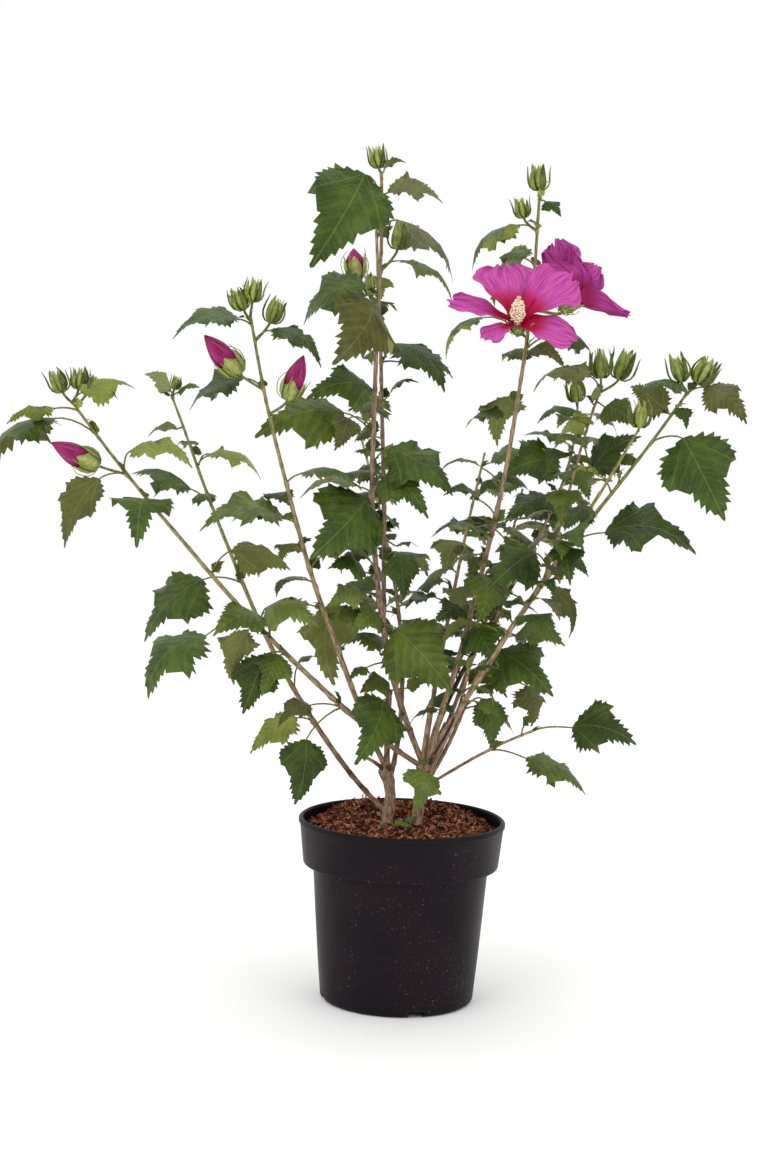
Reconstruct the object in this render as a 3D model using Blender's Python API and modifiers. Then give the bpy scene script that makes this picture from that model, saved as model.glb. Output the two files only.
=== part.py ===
"""A hibiscus shrub (rose of Sharon) in its round nursery pot, modelled at life size.

The origin is on the floor at the middle of the pot, +Z is up and the shrub is seen from -Y.
Two woody stumps stand in the potting mix.  Each cane is one cubic curve that leaves a stump
through a short socket.  Its bare stretches are boughs and its leafy stretches are masses of
foliage: a stem with leaves, buds and flowers fused to it.  Lengths below are in millimetres
and angles in degrees; a bearing is counted from +X towards +Y.
"""
import math
import random

import bmesh
import bpy
from mathutils import Matrix, Vector
from mathutils.bvhtree import BVHTree

MM = 0.001
GAP = 0.3            # clearance between solids that touch in the real plant
END_STEP = 1.5       # short first and last step of a limb, so that butted ends lie parallel
STEM_STEP = 40.0     # spacing of the rings along a limb
SEED = 26

# The pot: radii and heights of its turned wall.
RIM_RADIUS = 112.5
RIM_HEIGHT = 199.0
COLLAR_HEIGHT = 149.4
COLLAR_RADIUS = 106.4
BODY_RADIUS = 95.5
FOOT_RADIUS = 84.0
FOOT_ROUND = 6.0
WALL = 1.8
FLOOR_RISE = 7.0     # how far the ring channel of the floor stands off the ground
FLOOR_MIDDLE = 58.0
CHANNEL_OUTER = 76.0
NOTCHES = 4
NOTCH_BEARING = -75.0
NOTCH_WIDTH = 18.0
NOTCH_HEIGHT = 6.0
POT_SEGMENTS = 36

# The potting mix: a flat middle where the stumps stand, falling to the wall.
MIX_LEVEL = 190.0
MIX_EDGE_LEVEL = 186.0
MIX_FLAT_RADIUS = 50.0

# The stumps: foot, points on the axis, and diameters at the root flare, waist and head.
STUMPS = {
    "stump_left": {
        "axis": ((-16, -2, 190.3), (-16, -2, 196), (-13, -2, 225), (-19, -2, 252), (-20, -3, 262)),
        "diameters": (21, 15.5, 14, 16.5, 11),
    },
    "stump_right": {
        "axis": ((16, -3, 190.3), (16, -3, 196), (18, -3, 222), (22, -3, 246), (23, -3, 266)),
        "diameters": (22, 16, 14.5, 19, 13),
    },
}

# Each cane: the stump or cane it springs from, the four handles of its curve, its diameters
# at the foot and the tip, and the stations (shares of its length) where it changes from
# socket to bough, bough to leaves, leaves to bough and so on.
CANES = {
    "far_left": {
        "from": "stump_right", "diameters": (9.0, 3.6), "breaks": (0.09, 0.17, 0.61, 0.74),
        "handles": ((19, -5, 258), (-112, -66, 345), (-261, -72, 518), (-355, -100, 642)),
    },
    "left": {
        "from": "stump_left", "diameters": (9.0, 3.4), "breaks": (0.06, 0.21, 0.35, 0.54),
        "handles": ((-18, 2, 205), (-145, 50, 315), (-205, 95, 485), (-275, 140, 645)),
    },
    "inner_left": {
        "from": "stump_left", "diameters": (9.0, 3.6), "breaks": (0.07, 0.24, 0.68, 0.77),
        "handles": ((-20, -3, 255), (-97, -30, 418), (-143, -81, 577), (-173, -120, 736)),
    },
    "upright": {
        "from": "stump_left", "diameters": (8.5, 7.5), "breaks": (0.55,),
        "handles": ((-19, -3, 258), (-19, 6, 285), (-19, 4, 315), (-19, 0, 340)),
    },
    "centre": {
        "from": "stump_right", "diameters": (10.0, 4.2), "breaks": (0.06, 0.16),
        "handles": ((20, -4, 262), (-76, -10, 464), (-34, -36, 690), (-45, -50, 890)),
    },
    "centre_twin": {
        "from": "centre", "diameters": (7.5, 4.0), "breaks": (),
        "handles": ((-27, -14, 410), (-30, 15, 560), (-40, 45, 705), (-50, 80, 850)),
    },
    "flower": {
        "from": "stump_right", "diameters": (9.0, 3.8), "breaks": (0.07, 0.22, 0.53, 0.62),
        "handles": ((22, -3, 262), (86, -10, 470), (118, -48, 670), (119, -72, 871)),
    },
    "right_inner": {
        "from": "stump_right", "diameters": (8.0, 3.2), "breaks": (0.09, 0.30),
        "handles": ((24, 2, 262), (60, 80, 395), (185, 105, 510), (185, 150, 655)),
    },
    "right_fork": {
        "from": "stump_right", "diameters": (8.5, 3.2), "breaks": (0.09, 0.34),
        "handles": ((22, -8, 258), (82, -80, 386), (168, -83, 516), (226, -120, 633)),
    },
    "right_mid": {
        "from": "right_fork", "diameters": (5.0, 3.2), "breaks": (),
        "handles": ((136, -83, 465), (165, -5, 535), (175, 30, 605), (205, 70, 675)),
    },
    "right_outer": {
        "from": "stump_right", "diameters": (9.0, 3.8), "breaks": (0.07, 0.22, 0.52, 0.57),
        "handles": ((26, -3, 246), (85, -10, 405), (200, 5, 533), (291, 10, 671)),
    },
    "right_low": {
        "from": "stump_right", "diameters": (7.0, 4.0), "breaks": (0.30, 0.60),
        "handles": ((28, 3, 244), (50, 22, 275), (60, 30, 305), (72, 40, 340)),
    },
    "low_right": {
        "from": "stump_right", "diameters": (5.0, 3.4), "breaks": (0.16, 0.50),
        "handles": ((24, -6, 236), (60, -25, 265), (95, -45, 290), (135, -60, 310)),
    },
    "front": {
        "from": "stump_right", "diameters": (5.0, 3.0), "breaks": (0.20, 0.46),
        "handles": ((23, -8, 256), (47, -42, 305), (58, -100, 340), (60, -158, 385)),
    },
    "back_left": {
        "from": "stump_left", "diameters": (8.5, 3.4), "breaks": (0.08, 0.24),
        "handles": ((-16, -1, 236), (15, 70, 350), (-20, 150, 480), (-60, 230, 600)),
    },
    "back": {
        "from": "stump_right", "diameters": (8.0, 3.4), "breaks": (0.08, 0.24),
        "handles": ((20, 0, 250), (35, 80, 370), (60, 160, 480), (85, 235, 590)),
    },
    "back_right": {
        "from": "stump_right", "diameters": (7.5, 3.4), "breaks": (0.10, 0.28),
        "handles": ((25, 1, 244), (60, 70, 330), (105, 140, 430), (130, 215, 550)),
    },
    "foot": {
        "from": "stump_right", "diameters": (2.6, 2.2), "breaks": (0.0,),
        "handles": ((21, -13.4, 256), (21, -15, 258), (21, -17, 259), (21, -19, 260)),
    },
}

# The leaves that draw the crown's outline, cane by cane: station, bearing, length and lift
# of the leaf stalk, length and rise of the blade, and how far the blade's upper side is
# turned from the sky towards -Y.
LEAVES = {
    "far_left": (
        (0.20, -150, 45, 10, 45, -30, 30), (0.21, -135, 60, -30, 70, -80, 60),
        (0.35, -130, 20, 20, 50, -55, 40), (0.37, -140, 25, -5, 65, -70, 60),
        (0.41, -150, 25, 65, 65, -15, 45), (0.42, -145, 25, 15, 60, -75, -70),
        (0.44, -60, 24, 70, 66, -20, 50), (0.47, -170, 50, -25, 90, -50, 45),
        (0.58, -10, 35, 50, 65, -15, -40), (0.77, -90, 15, 0, 84, -32, 0),
        (0.83, -160, 30, -10, 80, -65, -60), (0.84, 20, 20, 75, 70, -15, -20),
        (0.92, 170, 50, 20, 95, -40, 10), (0.98, -170, 24, 5, 52, -20, -15),
        (1.00, -15, 15, 45, 60, 5, -25),
    ),
    "left": (
        (0.24, -165, 20, 15, 65, -40, -60), (0.32, 30, 30, 80, 25, 10, 0),
        (0.57, -170, 45, 5, 95, -50, 45), (0.75, 170, 30, 35, 75, 10, 0),
        (0.84, -15, 15, 50, 70, -20, -10), (0.93, -155, 8, -15, 35, -15, -25),
        (1.00, -160, 8, 80, 35, 35, -40), (1.00, -30, 10, 40, 30, 10, 30),
        (1.00, 35, 16, 60, 28, 35, -40),
    ),
    "inner_left": (
        (0.27, 10, 30, 40, 35, -45, 20), (0.36, -170, 20, 30, 55, -15, -30),
        (0.46, 20, 20, 50, 55, -5, -20), (0.56, -170, 15, 25, 90, -10, 20),
        (0.57, 160, 25, 5, 50, -10, 10), (0.65, -15, 20, 35, 60, -10, -10),
        (0.85, 160, 25, 25, 70, -30, 35), (0.95, -10, 20, 35, 65, -35, 20),
        (0.98, -170, 15, 25, 70, -20, 25),
    ),
    "upright": (
        (0.85, -145, 12, 10, 85, -40, 55), (0.97, -155, 12, 80, 35, -20, 40),
        (0.97, -15, 20, 15, 25, 15, -50),
    ),
    "centre": (
        (0.18, -155, 30, -5, 25, -35, 20), (0.20, -25, 12, -15, 50, -35, 45),
        (0.25, -40, 15, -20, 95, -40, 60), (0.26, -125, 12, 35, 50, -20, 50),
        (0.29, -155, 25, 25, 45, -20, 35), (0.30, -140, 50, -10, 90, -85, -70),
        (0.33, -160, 15, 20, 45, 5, 35), (0.45, -135, 12, 40, 100, -40, 60),
        (0.47, -160, 15, 30, 70, -10, 15), (0.48, -30, 20, 45, 70, -35, 45),
        (0.52, -15, 25, 45, 85, -35, 40), (0.57, -165, 40, 35, 100, -15, 35),
        (0.58, -135, 45, 15, 40, -60, 50), (0.63, -155, 12, 70, 75, -10, 40),
        (0.79, -130, 10, -10, 90, -45, 70), (0.80, -165, 20, 35, 80, -40, 55),
        (0.84, -10, 20, 35, 75, -35, 0), (0.95, -155, 35, 55, 115, -60, 75),
        (0.96, -15, 8, 35, 60, -10, -15), (0.99, -10, 8, 75, 25, 20, 0),
    ),
    "centre_twin": (
        (0.04, -15, 8, 55, 45, 20, -10), (0.16, -65, 40, 15, 50, -70, 20),
        (0.21, -15, 15, -25, 25, 0, 0), (0.54, 0, 12, 50, 35, 25, 0),
        (0.64, 15, 20, 5, 65, -15, 0), (0.67, -15, 20, 25, 80, -50, 10),
        (0.95, 15, 30, 45, 95, -45, 25),
    ),
    "flower": (
        (0.25, -60, 12, 20, 60, -40, 50), (0.28, -140, 12, 10, 45, -15, 40),
        (0.36, -100, 15, -25, 65, -50, 40), (0.38, -155, 8, 15, 40, -25, -20),
        (0.41, -160, 8, 15, 60, 0, 15), (0.42, -155, 12, 70, 30, 10, -10),
        (0.43, -25, 15, -35, 40, -35, -40), (0.44, -15, 35, 10, 35, 10, 0),
        (0.45, -170, 25, 45, 40, 5, 10), (0.50, 180, 30, 45, 45, -5, 0),
        (0.51, -155, 15, 15, 20, -55, 20), (0.63, 150, 15, -15, 45, -15, 20),
        (0.65, 125, 24, 15, 62, -72, 0), (0.72, -30, 15, 60, 45, -25, 40),
        (0.74, 30, 40, 25, 55, -25, 40), (0.76, 175, 50, 25, 60, -50, 10),
        (0.80, 100, 78, 38, 88, -8, 60), (0.94, -165, 20, 15, 70, -45, -25),
        (0.99, -40, 8, -10, 25, -40, 30),
    ),
    "right_inner": (
        (0.76, -155, 12, -20, 65, -30, 35), (0.82, -50, 12, 20, 45, -50, 30),
        (0.86, -150, 15, -15, 70, -20, 50), (0.88, -170, 15, 30, 45, 5, 20),
        (0.96, -160, 8, 80, 50, -20, 20),
    ),
    "right_mid": (
        (0.10, -145, 25, 45, 70, -30, 50), (0.12, -45, 12, 60, 45, -25, 30),
        (0.72, -20, 30, -65, 65, 35, 60), (0.90, -160, 15, -70, 45, -35, -50),
        (0.92, -35, 12, -25, 45, -25, 45), (0.97, -160, 20, 55, 70, -15, -25),
    ),
    "right_fork": (
        (0.66, -85, 15, 20, 50, -45, 10), (0.82, -150, 15, -50, 40, -40, 30),
        (0.86, -155, 15, 25, 15, 35, 0),
    ),
    "right_outer": (
        (0.25, -20, 8, 10, 30, 5, -60), (0.29, -30, 15, 45, 80, -30, 50),
        (0.34, -15, 15, 25, 55, -10, 20), (0.49, -45, 10, -25, 60, -60, -60),
        (0.60, -10, 35, 20, 100, -10, 30), (0.75, -50, 8, 70, 15, 60, 20),
        (0.87, -20, 35, 10, 100, -60, 75), (0.94, -160, 8, 40, 50, 30, -60),
        (0.95, -35, 8, 35, 25, -65, 40), (1.00, -175, 15, 40, 65, -20, 15),
        (1.00, -20, 20, 20, 60, -40, 45),
    ),
    "right_low": (
        (0.77, -40, 30, 30, 55, -75, 30), (0.95, -15, 65, 10, 45, -80, 40),
        (1.00, -25, 8, 0, 22, -10, 20),
    ),
    "low_right": (
        (0.62, -5, 40, -10, 75, -30, 20), (0.90, 0, 10, 80, 18, 45, 20),
        (0.98, -15, 45, 10, 70, -10, 50),
    ),
    "front": (
        (0.92, -30, 8, 75, 35, 5, 0), (1.00, -55, 6, 55, 18, 50, 30),
        (1.00, 155, 6, 70, 15, 15, 10),
    ),
    "foot": (
        (0.90, -100, 10, -10, 55, -50, 30),
    ),
}

# Stretches of cane that carry leaves by rule, on the sides away from the outline: first and
# last station, spacing, middle bearing, spread either side of it, and blade length.
FILLS = {
    "centre": ((0.20, 0.62, 34, 90, 50, 55),),
    "centre_twin": ((0.10, 0.90, 46, 90, 45, 52),),
    "flower": ((0.24, 0.50, 30, 60, 60, 52), (0.68, 0.92, 45, 95, 40, 48)),
    "right_inner": ((0.34, 0.97, 24, 60, 110, 56),),
    "right_mid": ((0.20, 0.85, 26, -140, 70, 52),),
    "right_fork": ((0.38, 0.74, 24, -120, 80, 56),),
    "right_outer": ((0.26, 0.50, 24, 120, 80, 52), (0.62, 0.84, 40, 115, 35, 45)),
    "right_low": ((0.70, 0.95, 14, 90, 90, 50),),
    "front": ((0.45, 0.85, 26, -90, 80, 42),),
    "back_left": ((0.28, 0.98, 24, 110, 120, 62),),
    "back": ((0.28, 0.98, 24, 90, 130, 62),),
    "back_right": ((0.32, 0.98, 24, 60, 120, 62),),
    "inner_left": ((0.30, 0.64, 48, 95, 45, 50),),
    "left": ((0.58, 0.92, 60, 80, 40, 45),),
}

# Buds: station, bearing, length and lift of the stalk, length and rise of the bud, and kind.
BUDS = {
    "far_left": (
        (1.00, -150, 15, 45, 26, 65, "green"), (1.00, 30, 15, 65, 24, 80, "green"),
        (0.99, 30, 24, 50, 16, 60, "green"), (0.83, -170, 30, 15, 55, 25, "pink"),
    ),
    "left": ((1.00, 0, 10, 80, 16, 75, "green"),),
    "inner_left": (
        (0.99, -140, 15, 50, 25, 60, "green"), (1.00, -45, 15, 80, 25, 80, "green"),
        (0.95, 25, 25, 50, 28, 70, "green"), (0.85, -160, 30, 30, 55, 45, "pink"),
        (0.80, -25, 25, 35, 50, 70, "pink"),
    ),
    "centre": ((1.00, 180, 5, 60, 24, 80, "green"), (0.84, -25, 30, 50, 30, 85, "green")),
    "centre_twin": ((0.79, -150, 35, 30, 34, 75, "pink"), (0.80, -115, 25, 5, 25, 85, "green")),
    "flower": ((1.00, 180, 4, 80, 28, 85, "green"), (0.94, -165, 20, 40, 22, 75, "green")),
    "right_mid": ((0.97, 10, 25, 35, 36, 70, "green"), (0.99, -110, 12, 70, 34, 75, "green")),
    "right_inner": ((0.99, -125, 6, 60, 28, 75, "green"),),
    "right_fork": ((1.00, -85, 5, 45, 30, 80, "green"),),
    "right_outer": ((1.00, -145, 15, 55, 30, 70, "green"), (1.00, 10, 15, 45, 34, 60, "green")),
}

# Open flowers: station on the cane, place of the calyx, bearing and rise of the way the
# flower faces, and how far the tip of each petal stands from the throat.
FLOWERS = {
    "flower": (
        (0.77, (98, -116, 731), -90, 55, ((-16, 33, 59), (-73, -10, 19), (-35, -26, -24),
                                          (55, -27, -16), (64, 7, 36))),
        (0.80, (150, -30, 758), 60, 45, ((-32, -8, 62), (-24, 6, 66), (0, 14, 56),
                                         (26, 6, 42), (54, -4, -6))),
    ),
}

BLADE_WIDTH = 0.86           # width of a leaf blade for its length
BLADE_OUTLINE = ((0.10, 0.42), (0.48, 0.45))
BLADE_SPINE = (0.42,)
BLADE_BOW = 0.20             # rise of the midrib over its chord
BLADE_FOLD = 0.10            # fall of the edges from the midrib
BLADE_THICKNESS = 0.013      # of the blade's length, at its middle
LEAST_BLADE = 0.9
STALK_DIAMETERS = (2.2, 1.6)
PETAL_WIDTH = 0.80
PETAL_OUTLINE = ((0.18, 0.16), (0.48, 0.40), (0.78, 0.50), (0.95, 0.30))
PETAL_SPINE = (0.35, 0.72)
PETAL_BOW = -0.10            # petals arch outwards
PETAL_CUP = -0.10            # and their edges rise
PETAL_THICKNESS = 1.2
BRACTS = 3                   # narrow bracts round a bud
COLUMN_LENGTH = 36.0
COLUMN_DIAMETER = 13.0

MATERIALS = {
    "pot_plastic": ((0.022, 0.019, 0.021), 0.45),
    "mix_bark": ((0.16, 0.055, 0.03), 0.95),
    "stump_wood": ((0.30, 0.21, 0.14), 0.85),
    "cane_wood": ((0.33, 0.25, 0.15), 0.75),
    "leaf_green": ((0.07, 0.13, 0.03), 0.55),
}


def clear_scene():
    """Remove every object that is already in the file."""
    for thing in list(bpy.data.objects):
        bpy.data.objects.remove(thing, do_unlink=True)


def make_collection(name):
    """Make one collection under the scene."""
    collection = bpy.data.collections.new(name)
    bpy.context.scene.collection.children.link(collection)
    return collection


def make_material(name):
    """Make one Principled material from the table of colours."""
    colour, roughness = MATERIALS[name]
    material = bpy.data.materials.new(name)
    material.use_nodes = True
    shader = material.node_tree.nodes["Principled BSDF"]
    shader.inputs["Base Color"].default_value = (*colour, 1.0)
    shader.inputs["Roughness"].default_value = roughness
    shader.inputs["Metallic"].default_value = 0.0
    return material


def heading(bearing, rise):
    """The unit vector that points along a bearing and a rise."""
    b, r = math.radians(bearing), math.radians(rise)
    return Vector((math.cos(r) * math.cos(b), math.cos(r) * math.sin(b), math.sin(r)))


def new_object(name, mesh, collection, material=None):
    """Put a mesh in a collection as an object."""
    thing = bpy.data.objects.new(name, mesh)
    if material:
        mesh.materials.append(material)
    collection.objects.link(thing)
    return thing


def mesh_from(name, verts, faces):
    """Make a mesh whose faces point outwards from vertices in millimetres."""
    shape = bmesh.new()
    points = [shape.verts.new(Vector(v) * MM) for v in verts]
    for face in faces:
        shape.faces.new([points[i] for i in face])
    bmesh.ops.recalc_face_normals(shape, faces=shape.faces)
    mesh = bpy.data.meshes.new(name)
    shape.to_mesh(mesh)
    shape.free()
    return mesh


def weld(mesh):
    """Join the loose caps of a mesh to its sides."""
    shape = bmesh.new()
    shape.from_mesh(mesh)
    bmesh.ops.remove_doubles(shape, verts=shape.verts, dist=1e-6)
    shape.to_mesh(mesh)
    shape.free()


# --- the pot and the mix -------------------------------------------------------------------

def turned(name, profile, collection, material):
    """Turn a profile of (radius, height) about Z; it runs down its outer side."""
    mesh = bpy.data.meshes.new(name)
    points = [(r * MM, 0.0, z * MM) for r, z in profile]
    mesh.from_pydata(points, [(i, i + 1) for i in range(len(points) - 1)], [])
    thing = new_object(name, mesh, collection, material)
    screw = thing.modifiers.new("turn", "SCREW")
    screw.steps = POT_SEGMENTS
    screw.render_steps = POT_SEGMENTS
    screw.use_merge_vertices = True
    screw.merge_threshold = 1e-5
    return thing


def rounded(centre, radius, first, last, steps):
    """Points of an arc from one angle to another, as (radius, height)."""
    arc = []
    for i in range(steps + 1):
        angle = math.radians(first + (last - first) * i / steps)
        arc.append((centre[0] + radius * math.cos(angle), centre[1] + radius * math.sin(angle)))
    return arc


def inner_radius(height):
    """Radius of the pot's inner wall at a height inside the straight body."""
    share = (height - FOOT_ROUND) / (COLLAR_HEIGHT - FOOT_ROUND)
    return FOOT_RADIUS + (BODY_RADIUS - FOOT_RADIUS) * share - WALL


def build_pot(parts, cutters):
    """The pot: a turned wall with a rolled rim, a stepped collar and a raised ring channel
    in its floor, with drain notches cut through the foot."""
    lip = 1.6
    floor_top = FLOOR_RISE + WALL
    middle_top = WALL
    profile = [(0.0, middle_top), (FLOOR_MIDDLE - WALL, middle_top)]
    profile += [(FLOOR_MIDDLE - WALL + 2.0, floor_top), (inner_radius(floor_top), floor_top)]
    profile += [(inner_radius(COLLAR_HEIGHT - 3.0), COLLAR_HEIGHT - 3.0)]
    profile += [(COLLAR_RADIUS - WALL, COLLAR_HEIGHT + WALL)]
    profile += [(RIM_RADIUS - lip - WALL, RIM_HEIGHT - lip)]
    profile += rounded((RIM_RADIUS - lip, RIM_HEIGHT - lip), lip, 150, 0, 3)
    profile += [(RIM_RADIUS, RIM_HEIGHT - 4.0), (RIM_RADIUS - 1.2, RIM_HEIGHT - 5.0)]
    profile += [(COLLAR_RADIUS, COLLAR_HEIGHT), (BODY_RADIUS + 0.2, COLLAR_HEIGHT - 2.0)]
    profile += rounded((FOOT_RADIUS - FOOT_ROUND, FOOT_ROUND), FOOT_ROUND, 5, -80, 3)
    profile += [(CHANNEL_OUTER, 0.0), (CHANNEL_OUTER - 1.0, FLOOR_RISE)]
    profile += [(FLOOR_MIDDLE + 2.0, FLOOR_RISE), (FLOOR_MIDDLE, 0.0), (0.0, 0.0)]
    pot = turned("pot", profile, parts, make_material("pot_plastic"))
    for i in range(NOTCHES):
        bearing = NOTCH_BEARING + 360.0 * i / NOTCHES
        bpy.ops.mesh.primitive_cube_add(size=1.0)
        notch = bpy.context.object
        notch.name = f"notch_{i + 1}"
        notch.location = heading(bearing, 0) * FOOT_RADIUS * MM
        notch.rotation_euler = (0.0, 0.0, math.radians(bearing))
        notch.scale = (24.0 * MM, NOTCH_WIDTH * MM, 2 * NOTCH_HEIGHT * MM)
        for owner in list(notch.users_collection):
            owner.objects.unlink(notch)
        cutters.objects.link(notch)
        notch.hide_render = True
        notch.display_type = "WIRE"
        cut = pot.modifiers.new(f"notch_{i + 1}", "BOOLEAN")
        cut.object = notch
        cut.operation = "DIFFERENCE"
    return pot


def build_mix(parts):
    """The potting mix: it fills the pot to just below the rim."""
    low = FLOOR_RISE + WALL + GAP
    top = COLLAR_HEIGHT - 3.0
    profile = [(0.0, MIX_LEVEL), (MIX_FLAT_RADIUS, MIX_LEVEL)]
    profile += [(COLLAR_RADIUS - WALL + 1.0, MIX_EDGE_LEVEL)]
    profile += [(COLLAR_RADIUS - WALL - 2 * GAP, COLLAR_HEIGHT + WALL + GAP)]
    profile += [(inner_radius(top) - 2 * GAP, top), (inner_radius(low) - 2 * GAP, low), (0.0, low)]
    return turned("potting_mix", profile, parts, make_material("mix_bark"))


# --- canes ---------------------------------------------------------------------------------

class Cane:
    """One cane: a cubic curve, read by its length."""

    SAMPLES = 200

    def __init__(self, plan):
        a, b, c, d = (Vector(h) for h in plan["handles"])
        self.points = []
        for i in range(self.SAMPLES + 1):
            t = i / self.SAMPLES
            s = 1.0 - t
            self.points.append(a * s ** 3 + b * 3 * s * s * t + c * 3 * s * t * t + d * t ** 3)
        self.lengths = [0.0]
        for p, q in zip(self.points, self.points[1:]):
            self.lengths.append(self.lengths[-1] + (q - p).length)
        self.length = self.lengths[-1]
        self.diameters = plan["diameters"]

    def at(self, distance):
        """The point at a distance along the cane."""
        distance = min(max(distance, 0.0), self.length)
        i = 1
        while self.lengths[i] < distance and i < self.SAMPLES:
            i += 1
        before, after = self.lengths[i - 1], self.lengths[i]
        return self.points[i - 1].lerp(self.points[i], (distance - before) / (after - before))

    def radius(self, distance):
        """Half the diameter at a distance along the cane."""
        foot, tip = self.diameters
        return 0.5 * (foot + (tip - foot) * distance / self.length)

    def stretch(self, first, last):
        """Points and radii between two distances, with a short step at each end."""
        inner = last - first - 2 * END_STEP
        count = max(1, round(inner / STEM_STEP))
        stops = [first] + [first + END_STEP + inner * i / count for i in range(count + 1)] + [last]
        return [self.at(s) for s in stops], [self.radius(s) for s in stops]


def tube(name, points, radii, collection, material=None, resolution=1):
    """A round limb with filled ends: a bevelled curve turned to a mesh."""
    curve = bpy.data.curves.new(name, "CURVE")
    curve.dimensions = "3D"
    curve.bevel_depth = 1.0
    curve.bevel_resolution = resolution
    curve.use_fill_caps = True
    spline = curve.splines.new("POLY")
    spline.points.add(len(points) - 1)
    for knot, point, radius in zip(spline.points, points, radii):
        knot.co = (*(Vector(point) * MM), 1.0)
        knot.radius = radius * MM
    guide = bpy.data.objects.new(name + "_guide", curve)
    collection.objects.link(guide)
    graph = bpy.context.evaluated_depsgraph_get()
    mesh = bpy.data.meshes.new_from_object(guide.evaluated_get(graph))
    bpy.data.objects.remove(guide, do_unlink=True)
    weld(mesh)
    mesh.name = name
    return new_object(name, mesh, collection, material)


# --- leaves, buds and flowers --------------------------------------------------------------

def side_strip(spine, edge):
    """Join a spine and one edge, both lists of (share of length, index), by triangles."""
    faces = []
    i, j = 0, 0
    while i < len(spine) - 1 or j < len(edge) - 1:
        step_spine = j == len(edge) - 1
        if i < len(spine) - 1 and j < len(edge) - 1:
            step_spine = spine[i + 1][0] < edge[j + 1][0]
        nxt = spine[i + 1][1] if step_spine else edge[j + 1][1]
        triangle = (spine[i][1], edge[j][1], nxt)
        if len(set(triangle)) == 3:
            faces.append(triangle)
        i, j = (i + 1, j) if step_spine else (i, j + 1)
    return faces


def lens(length, width, outline, spine, bow, fold, thickness):
    """A thin closed blade: two skins that meet at its edge and stand apart at its midrib."""
    def height(x):
        return bow * length * 4 * x * (1 - x)

    verts = [(0.0, 0.0, 0.0), (length, 0.0, 0.0)]
    edges = {}
    for side in (1, -1):
        edges[side] = []
        for x, y in outline:
            across = y * width
            verts.append((x * length, side * across, height(x) - fold * across))
            edges[side].append((x, len(verts) - 1))
    faces = []
    for skin in (0.5, -0.5):
        middle = [(0.0, 0)]
        for x in spine:
            verts.append((x * length, 0.0, height(x) + skin * thickness))
            middle.append((x, len(verts) - 1))
        middle.append((1.0, 1))
        for side in (1, -1):
            faces += side_strip(middle, [(0.0, 0)] + edges[side] + [(1.0, 1)])
    return verts, faces


def frame_for(base, along, normal):
    """The matrix that sets local X along a direction, with local Z near a normal."""
    x = along.normalized()
    y = normal.cross(x).normalized()
    z = x.cross(y)
    rotation = Matrix((x, y, z)).transposed().to_4x4()
    return Matrix.Translation(Vector(base)) @ rotation


def facing_normal(bearing, rise, face):
    """The upper side of a blade, turned by an angle from the sky towards -Y."""
    along = heading(bearing, rise)
    up = heading(bearing, rise + 90)
    side = along.cross(up)
    if side.y > 0:
        side = -side
    turn = math.radians(face)
    return up * math.cos(turn) + side * math.sin(turn)


def spike(name, start, end, radii, collection, sides=3):
    """A straight tapered stalk: a cone primitive from one point to another."""
    shape = bmesh.new()
    run = Vector(end) - Vector(start)
    bmesh.ops.create_cone(shape, cap_ends=True, segments=sides, radius1=radii[0] * MM,
                          radius2=radii[1] * MM, depth=run.length * MM)
    turn = run.to_track_quat("Z", "Y").to_matrix().to_4x4()
    middle = (Vector(start) + Vector(end)) * 0.5 * MM
    shape.transform(Matrix.Translation(middle) @ turn)
    mesh = bpy.data.meshes.new(name)
    shape.to_mesh(mesh)
    shape.free()
    return new_object(name, mesh, collection)


def ovoid(name, base, along, length, width, collection):
    """A bud's body: a stretched sphere that stands on a base point."""
    shape = bmesh.new()
    bmesh.ops.create_uvsphere(shape, u_segments=6, v_segments=4, radius=1.0)
    turn = along.to_track_quat("Z", "Y").to_matrix().to_4x4()
    size = Matrix.Diagonal((width * 0.5 * MM, width * 0.5 * MM, length * 0.5 * MM, 1.0))
    middle = (Vector(base) + along * length * 0.5) * MM
    shape.transform(Matrix.Translation(middle) @ turn @ size)
    mesh = bpy.data.meshes.new(name)
    shape.to_mesh(mesh)
    shape.free()
    return new_object(name, mesh, collection)


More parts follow.
